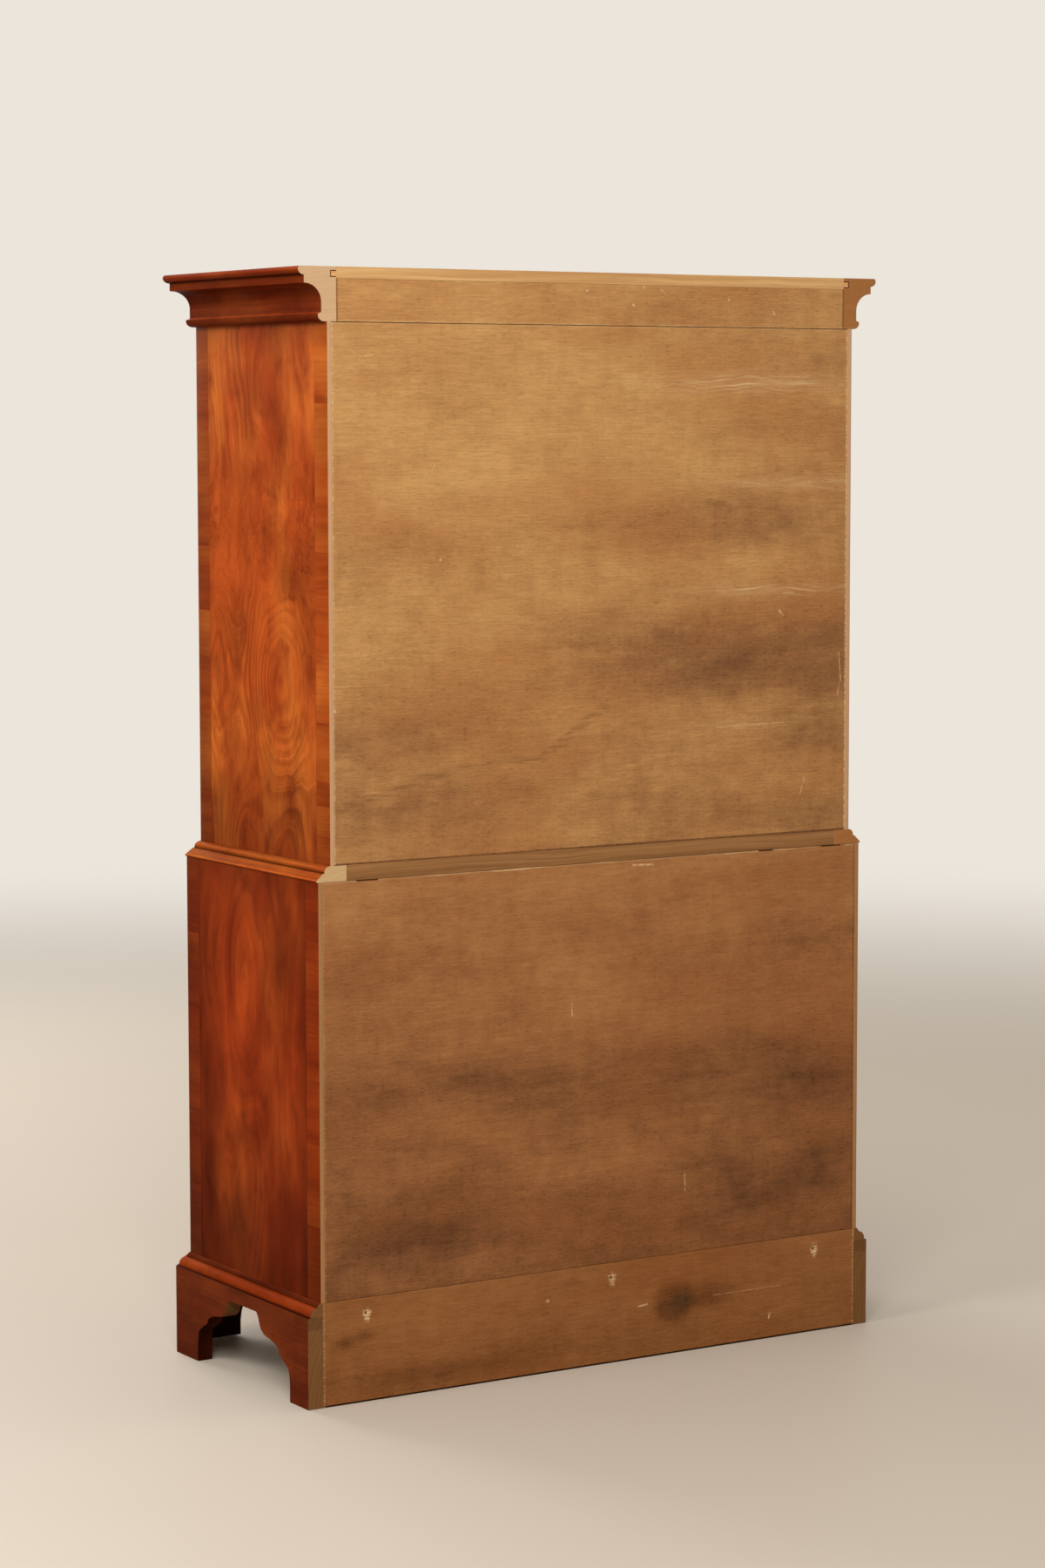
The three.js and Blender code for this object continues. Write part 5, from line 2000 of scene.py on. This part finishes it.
@dataclass
class Drawer:
    """A drawer: a veneered and cock-beaded front, a dovetailed box, and its brass.

    The seed sets its veneer's tones and its place on the log. The keyhole's height is a share of the front
    where there are two bails, and a drop under its top where there is one.
    """

    name: str
    case: str
    palette: Palette
    bails: Sequence[str]
    seed: int
    band_width: float = 0.022
    block: float = 0.085
    leaf_tones: Pair = (-0.14, 0.08)
    most_leaves: int = 40
    arris: float = 0.0005
    bead_width: float = 0.0032
    bead_out: float = 0.0025
    bead_tone: float = -0.12
    wall: float = 0.012
    bottom: float = 0.006
    lift: float = 0.006
    bottom_tone: float = -0.08
    box_arris: float = 0.0012
    lap: float = 0.0004
    tail_count: int = 4
    tail_gap: float = 0.17
    tail_reach: float = 0.005
    tail_proud: float = 0.0002
    keyhole_share: float = 0.62
    keyhole_drop: float = 0.033

    def __post_init__(self) -> None:
        """Reads the front's lowest and highest corners, from the case's face to the box."""
        self.low, self.high = extent(f"{self.name}_front")
        self.low[1] = extent(f"{self.case}_right_post")[0][1]
        self.high[1] = extent(f"{self.name}_box")[0][1]

    def build(self) -> None:
        """Builds the front, the box, the bails, and the brass that is fixed to the front."""
        low, high = self.low, self.high
        self._front()
        self._box()
        brass = Skin()
        for bail in self.bails:
            bail_low, bail_high = extent(bail)
            hinge = next(joint for joint in frame["joints"] if joint["name"] == f"{bail}_hinge")
            handle = BailHandle(bail, np.array([(bail_low[0] + bail_high[0]) / 2, low[1], hinge["pos_m"][2]]))
            handle.add_posts(brass)
            handle.build_bail(self.palette.brass)
        keyhole = low[2] + (high[2] - low[2]) * self.keyhole_share
        if len(self.bails) == 1:
            keyhole = high[2] - self.keyhole_drop
        Escutcheon(np.array([(low[0] + high[0]) / 2, low[1], keyhole])).add(brass)
        place(brass.build(f"{self.name}_brass", [self.palette.brass, self.palette.dark]), self.name, "brass")

    def _front(self) -> None:
        """Builds the front: two mirrored leaves in a crossbanded border, with its bead and dovetails."""
        low, high = self.low, self.high
        random = np.random.default_rng(self.seed)
        edge = self.bead_width + self.band_width
        middle = (low + high) / 2
        lines = []
        for axis, extra in ((0, [middle[0]]), (2, [])):
            count = max(1, round((high[axis] - low[axis] - 2 * edge) / self.block))
            inner = np.linspace(low[axis] + edge, high[axis] - edge, count + 1)
            lines.append(np.unique(np.concatenate([inner, extra]).round(7)))
        corners = box_cells(low, high, self.arris, (lines[0], (), lines[1]))
        x, y, z = corners.mean(axis=1).T
        column, row = np.searchsorted(lines[0], x), np.searchsorted(lines[1], z)
        on_face, on_rear = y < low[1] + 1.2 * self.arris, y > high[1] - 1.2 * self.arris
        at_side = on_face & ((x < low[0] + edge) | (x > high[0] - edge))
        at_end = on_face & ~at_side & ((z < low[2] + edge) | (z > high[2] - edge))
        leaf = 1.03 + 0.21 * (self.seed % 3 - 1)
        outward, upward = np.abs(corners[..., 0] - middle[0]), corners[..., 2] - middle[2] + leaf
        mirrored = np.stack([outward, upward], axis=-1)
        across = np.stack([corners[..., 2] + 2.0 * column[:, None], corners[..., 0]], axis=-1)
        aside = np.stack([corners[..., 0] + 2.0 * row[:, None], corners[..., 2]], axis=-1)
        masks = at_side, at_end, on_face
        grain = plank_grain(corners, 0)[0]
        grain = np.select([mask[:, None, None] for mask in masks], [aside, across, mirrored], grain)
        tones = random.uniform(*self.leaf_tones, 2 * self.most_leaves)
        tone = np.select(masks[:2], [tones[row + self.most_leaves], tones[column]], 0.0)
        skin = Skin()
        skin.add(corners, grain, tone, np.select([*masks, on_rear], [1, 1, 0, 3], 2))
        self._bead(skin)
        self._tails(skin)
        palette = self.palette
        finishes = [palette.drawer, palette.band, palette.moulding, palette.drawer_wood]
        node = f"{self.name}_front"
        place(skin.build(f"{node}_veneered", finishes), self.name, "drawer_veneer", node)

    def _bead(self, skin: Skin) -> None:
        """Runs the bead round the front's edge: a round nose on a straight shank, mitred at the corners.

        Args:
            skin: the skin that takes the bead.
        """
        low, high = self.low, self.high
        nose = self.bead_width / 2
        shank = self.bead_out - nose
        section = np.concatenate([[(0, 0)], arc((nose, shank), (nose, nose), 2, 0, 10),
                                  [(self.bead_width, 0), (0, 0)]])
        signs = closed(np.array([(1, 1), (-1, 1), (-1, -1), (1, -1)]))
        starts = np.where(signs > 0, low[[0, 2]], high[[0, 2]])
        plan = starts[:, None] + signs[:, None] * section[None, :, :1]
        depth = np.broadcast_to(low[1] - section[:, 1], plan.shape[:2])
        grid = np.stack([plan[..., 0], depth, plan[..., 1]], axis=-1)
        for run in range(4):
            strip = grid[run : run + 2]
            across = np.broadcast_to(np.linspace(0, 0.01, len(section)) + run, strip.shape[:2])
            grain = np.stack([strip @ unit(strip[1, 0] - strip[0, 0]), across], axis=-1)
            skin.add(cells_of(strip), cells_of(grain), self.bead_tone, 2)

    def _tails(self, skin: Skin) -> None:
        """Lays the dovetails of the drawer's sides on the front's ends: thin plates that widen forwards.

        Args:
            skin: the skin that takes the dovetails.
        """
        low, high = self.low, self.high
        height, gap = (high[2] - low[2]) / self.tail_count, self.tail_gap
        root_y, tip_y = high[1] - 1.2 * self.arris, low[1] + self.tail_reach
        shares = (root_y, gap), (root_y, 1 - gap), (tip_y, 1 - gap / 3), (tip_y, gap / 3)
        for side, x in ((-1, low[0]), (1, high[0])):
            levels = sorted((x - side * self.lap, x + side * self.tail_proud))
            for index in range(self.tail_count):
                foot = low[2] + height * index
                outline = np.array([(y, foot + height * share) for y, share in shares])
                skin.prism(outline, levels, (1, 2, 0), 1, (0.5 * index, side), (3, 3))

    def _box(self) -> None:
        """Builds the sides, the back and the bottom board from the box node's corners."""
        node = f"{self.name}_box"
        (left, front, low), (right, rear, high) = extent(node)
        inner_left, inner_right = left + self.wall, right - self.wall
        back, raised = rear - self.wall, low + self.lift
        parts = (
            ((left, front, low), (inner_left, rear, high), 1, 0.0),
            ((inner_right, front, low), (right, rear, high), 1, 0.0),
            ((inner_left - self.lap, back, low), (inner_right + self.lap, rear, high), 0, 0.0),
            ((inner_left, front, raised), (inner_right, back, raised + self.bottom), 0, self.bottom_tone),
        )
        skin = Skin()
        for order, (start, stop, along, tone) in enumerate(parts):
            skin.plank(box_cells(start, stop, self.box_arris), along, (order + self.seed, order), tone)
        piece = skin.build(f"{node}_boards", [self.palette.drawer_wood, self.palette.pale_end])
        place(piece, self.name, "drawer_wood", node)


@dataclass(frozen=True)
class Lamp:
    """A square soft lamp that looks at a target."""

    name: str
    stand: tuple[float, float, float]
    target: tuple[float, float, float]
    size: float
    power: float

    def hang(self) -> None:
        """Hangs the lamp."""
        data = bpy.data.lights.new(self.name, "AREA")
        data.size = self.size
        data.energy = self.power
        lamp = stand(self.name, data)
        lamp.location = self.stand
        lamp.rotation_euler = (Vector(self.target) - Vector(self.stand)).to_track_quat("-Z", "Y").to_euler()


@dataclass(frozen=True)
class Studio:
    """The pale floor, the soft light and the camera."""

    focal_px: float = 4380.08
    long_side_px: float = 1800.0
    sensor: float = 36.0
    stand: tuple[float, float, float] = (3.42562, 5.47094, 1.5614)
    yaw: float = 0.561407
    pitch: float = 0.0944786
    roll: float = -0.00140269
    wall_colour: Colour = (236, 229, 219)
    soft_colour: Colour = (246, 240, 230)
    soft_level: float = 0.42
    floor_colour: Colour = (206, 194, 178)
    floor_radius: float = 9.0
    floor_sides: int = 96
    lamps: tuple[Lamp, ...] = rows(
        Lamp,
        ("key_lamp", (2.5, 3.3, 3.1), (0.1, 0.2, 1.0), 1.7, 104),
        ("side_lamp", (2.9, 0.5, 3.2), (0.4, 0.0, 1.1), 1.2, 46),
        ("fill_lamp", (-3.8, 1.2, 2.6), (0, 0, 1.0), 2.4, 22),
        ("front_lamp", (0.6, -4.2, 2.8), (0, 0, 1.0), 2.4, 110),
    )

    def camera(self) -> None:
        """Stands the camera behind the chest, level with a standing person's eye."""
        data = bpy.data.cameras.new("camera")
        data.sensor_width = self.sensor
        data.lens = self.focal_px / self.long_side_px * self.sensor
        data.clip_end = 100
        level = -math.cos(self.pitch)
        ahead = Vector((math.sin(self.yaw) * level, math.cos(self.yaw) * level, -math.sin(self.pitch)))
        side = ahead.cross(Vector((0, 0, 1))).normalized()
        up = side.cross(ahead)
        right = side * math.cos(self.roll) + up * math.sin(self.roll)
        top = up * math.cos(self.roll) - side * math.sin(self.roll)
        camera = stand("camera", data)
        turn = Matrix((right, top, -ahead)).transposed().to_4x4()
        camera.matrix_world = Matrix.Translation(self.stand) @ turn
        bpy.context.scene.camera = camera

    def floor(self) -> None:
        """Lays a round floor that fades into the backdrop's colour towards its rim."""
        turn = round_turn(self.floor_sides)[:-1]
        rim = np.stack([np.cos(turn), np.sin(turn), np.zeros_like(turn)], axis=-1) * self.floor_radius
        mesh = bpy.data.meshes.new("floor")
        mesh.from_pydata(rim, [], [range(len(rim))])
        sheet = Sheet("floor_paint")
        x, y, _ = sheet.object_point()
        distance = sheet.calc("SQRT", sheet.add(sheet.times(x, x), sheet.times(y, y)))
        fade = sheet.band(distance, 0.28 * self.floor_radius, 0.8 * self.floor_radius)
        clear = sheet.node("BsdfTransparent")
        mix = sheet.node("MixShader", fade, sheet.shader.outputs[0], clear.outputs[0])
        sheet.put(sheet.output.inputs["Surface"], mix.outputs[0])
        cloud = sheet.line(sheet.noise(x, y, (1.5, 1.5), 3.0), 0.04, 0.98)
        colour = sheet.scale(sheet.point(*srgb(*self.floor_colour)), cloud)
        mesh.materials.append(sheet.finish(colour, 0.55, 0.2))
        stand("floor", mesh)

    def lights(self) -> None:
        """Sets an even surround, which looks paler than it lights, and hangs the lamps."""
        world = bpy.data.worlds.new("surround")
        nodes = Nodes(world)
        rays = nodes.node("LightPath").outputs
        seen = rays["Is Camera Ray"]
        for ray in ("Is Glossy Ray", "Is Transmission Ray"):
            seen = nodes.calc("MAXIMUM", seen, rays[ray])
        soft = nodes.node("Background", self.soft_colour, self.soft_level)
        wall = nodes.node("Background", self.wall_colour, 1.0)
        mix = nodes.node("MixShader", seen, soft.outputs[0], wall.outputs[0])
        nodes.node("OutputWorld", mix.outputs[0])
        bpy.context.scene.world = world
        for lamp in self.lamps:
            lamp.hang()


def build_cases(palette: Palette) -> None:
    """Builds the sides, posts, backs and boards of both cases.

    Args:
        palette: the finishes.
    """
    sides = {
        "upper": ((palette.upper_side, palette.band, palette.worn, palette.raw), 3, (-0.34, -0.26),
                  (-0.24, -0.04)),
        "lower": ((palette.lower_side, palette.red_band, palette.dark_worn, palette.raw), 7, (-0.2, -0.1),
                  (-0.14, -0.04)),
    }
    for prefix, details in sides.items():
        for hand in Hand:
            CaseSide(prefix, hand, *details).build()
            CornerPost(prefix, hand, (palette.moulding, palette.raw)).build()
        CaseBoards(prefix, (palette.moulding, palette.raw, palette.pale_end)).build()
    upper_blotches = rows(
        Blotch, (-0.36, 1.16, 0.24, 0.06, 0.32), (0.05, 1.212, 0.12, 0.04, 0.14),
        (-0.12, 1.165, 0.2, 0.055, 0.3), (-0.28, 1.225, 0.3, 0.045, 0.2), (-0.18, 1.405, 0.16, 0.04, 0.26),
        (0.04, 1.395, 0.1, 0.03, 0.12), (0.38, 1.09, 0.2, 0.07, 0.14), (0.25, 0.93, 0.34, 0.05, 0.04),
        (0.0, 0.9, 0.5, 0.02, -0.04), (0.2, 1.446, 0.3, 0.04, -0.12), (-0.22, 1.6, 0.07, 0.03, -0.2),
        (0.3, 1.68, 0.16, 0.03, 0.12), (-0.34, 1.4, 0.2, 0.05, 0.18), (0.42, 1.375, 0.12, 0.04, 0.18),
        (0.36, 1.06, 0.2, 0.04, 0.12), (0.36, 0.945, 0.26, 0.05, 0.16), (-0.38, 1.035, 0.08, 0.03, 0.14),
        (-0.3, 0.905, 0.3, 0.035, 0.12), (-0.38, 1.69, 0.24, 0.05, 0.17), (0.3, 1.6, 0.1, 0.04, 0.1),
        (-0.3, 1.56, 0.16, 0.05, 0.12), (0.2, 1.215, 0.16, 0.05, -0.16), (0.3, 1.5, 0.26, 0.08, -0.08),
        (-0.02, 1.09, 0.14, 0.025, -0.1), (-0.3, 1.33, 0.24, 0.03, -0.06), (-0.5, 1.3, 0.16, 0.45, 0.14),
    )
    upper_scuffs = rows(Blotch, (-0.3, 1.626, 0.17, 0.014, 1.2), (-0.38, 1.46, 0.13, 0.009, 0.9),
                        (-0.35, 1.281, 0.15, 0.007, 1.1), (-0.29, 1.056, 0.1, 0.004, 0.9))
    lower_blotches = rows(
        Blotch, (0.36, 0.5, 0.2, 0.05, 0.14), (0.1, 0.49, 0.24, 0.035, 0.12),
        (-0.2, 0.585, 0.2, 0.03, -0.12), (-0.24, 0.49, 0.26, 0.035, 0.24), (-0.3, 0.68, 0.14, 0.04, 0.12),
        (-0.45, 0.69, 0.1, 0.05, 0.14), (0.4, 0.69, 0.16, 0.045, 0.12), (0.4, 0.27, 0.2, 0.07, 0.22),
        (-0.42, 0.46, 0.12, 0.05, 0.22), (-0.42, 0.3, 0.18, 0.12, 0.14), (-0.16, 0.25, 0.24, 0.05, 0.14),
        (0.0, 0.62, 0.1, 0.06, -0.18), (0.04, 0.345, 0.26, 0.04, -0.2), (0.0, 0.82, 0.5, 0.02, -0.12),
    )
    # Painted shade: the stain's slope darkens the panel downwards, and the minus bottom rim paints the
    # joint's shade.
    BackPanel("upper_back", "back_plywood", (palette.upper_back, palette.raw), 0.12, 0.32, upper_blotches,
              upper_scuffs, rims=(2.6, 1.0, -1.3, 0.5), rise=0.0014).build()
    # Painted shadow: each gap darkens the top rim where the edge stands away from the rail.
    gaps = (0.443, 0.017), (-0.473, 0.022), (-0.335, 0.012)
    BackPanel("lower_back", "dark_back_plywood", (palette.lower_back, palette.raw), 0.24, 0.42,
              lower_blotches, rims=(-0.4, 0.35, 0.0, 1.0), rise=0.0019, gaps=gaps).build()


def build_frames(plan: Plan, palette: Palette) -> None:
    """Builds the cornice, the waist, the base and the rails and boards behind them.

    Args:
        plan: the chest's plan.
        palette: the finishes.
    """
    raw, dark_end, stained_end = palette.raw, palette.dark_end, palette.stained_end
    Cornice("cornice", plan, (palette.moulding, palette.pale_end, raw, stained_end)).build()
    WaistFrame("waist_frame", plan, (palette.waist_moulding, palette.waist_end, raw, stained_end)).build()
    BaseFrame("base_frame", plan, (palette.base_moulding, dark_end, raw, dark_end)).build()
    TopBoard(plan, (palette.moulding, palette.top_edge)).build()
    BackPanel("cornice_back_rail", "back_plywood", (palette.upper_back, raw), 0.11, 0.05,
              rows(Blotch, (-0.34, 1.75, 0.26, 0.1, 0.22), (-0.12, 1.745, 0.05, 0.02, 0.2)),
              rims=(-0.7, -0.7, 0.7, 0)).build()
    plinth_blotches = rows(
        Blotch, (-0.147, 0.09, 0.042, 0.036, 0.6, 2.5), (-0.205, 0.093, 0.065, 0.024, 0.42, 2.0),
        (0.3, 0.035, 0.25, 0.022, 0.2), (0.485, 0.1, 0.02, 0.012, 0.4), (0.45, 0.108, 0.02, 0.008, 0.4),
    )
    # The foot's dark tone paints the contact shadow under the board's bottom edge.
    BackPanel("plinth_back", "dark_back_plywood", (palette.plinth_back, raw), 0.12, 0.2, plinth_blotches,
              dents=rows(Dent, (0.446, 0.142), (-0.024, 0.142), (-0.441, 0.142)), rims=(0.6, 0.35, 0.0, 0.0),
              rim_width=0.003, foot_tone=-0.9, cell=0.006).build()
    Board("waist_back_rail", 0, (palette.inner_rail, dark_end), "dark_back_plywood").build()
    Board("upper_divider", 1, (raw, palette.moulding), "inner_wood").build()
    Bracket(plan, (palette.bracket, palette.bracket, dark_end, palette.black_inside)).build()


def build_drawers(palette: Palette) -> None:
    """Builds every drawer that the frame's bodies name.

    Args:
        palette: the finishes.
    """
    drawers = [body for body in frame["bodies"] if f"{body}_front" in frame["nodes"]]
    for seed, name in enumerate(drawers):
        bails = sorted(body for body in frame["bodies"] if body.startswith(name) and body.endswith("bail"))
        Drawer(name, "lower" if name.startswith("lower") else "upper", palette, bails, seed).build()


def main() -> None:
    """Builds the chest, the floor, the lights and the camera."""
    logging.basicConfig(level=logging.INFO, format="%(message)s")
    studio = Studio()
    studio.camera()
    studio.floor()
    studio.lights()
    palette = Palette()
    build_cases(palette)
    build_frames(Plan.from_frame(), palette)
    build_drawers(palette)
    bpy.context.scene.view_settings.view_transform = "Standard"
    bpy.context.view_layer.update()


if __name__ == "__main__":
    main()
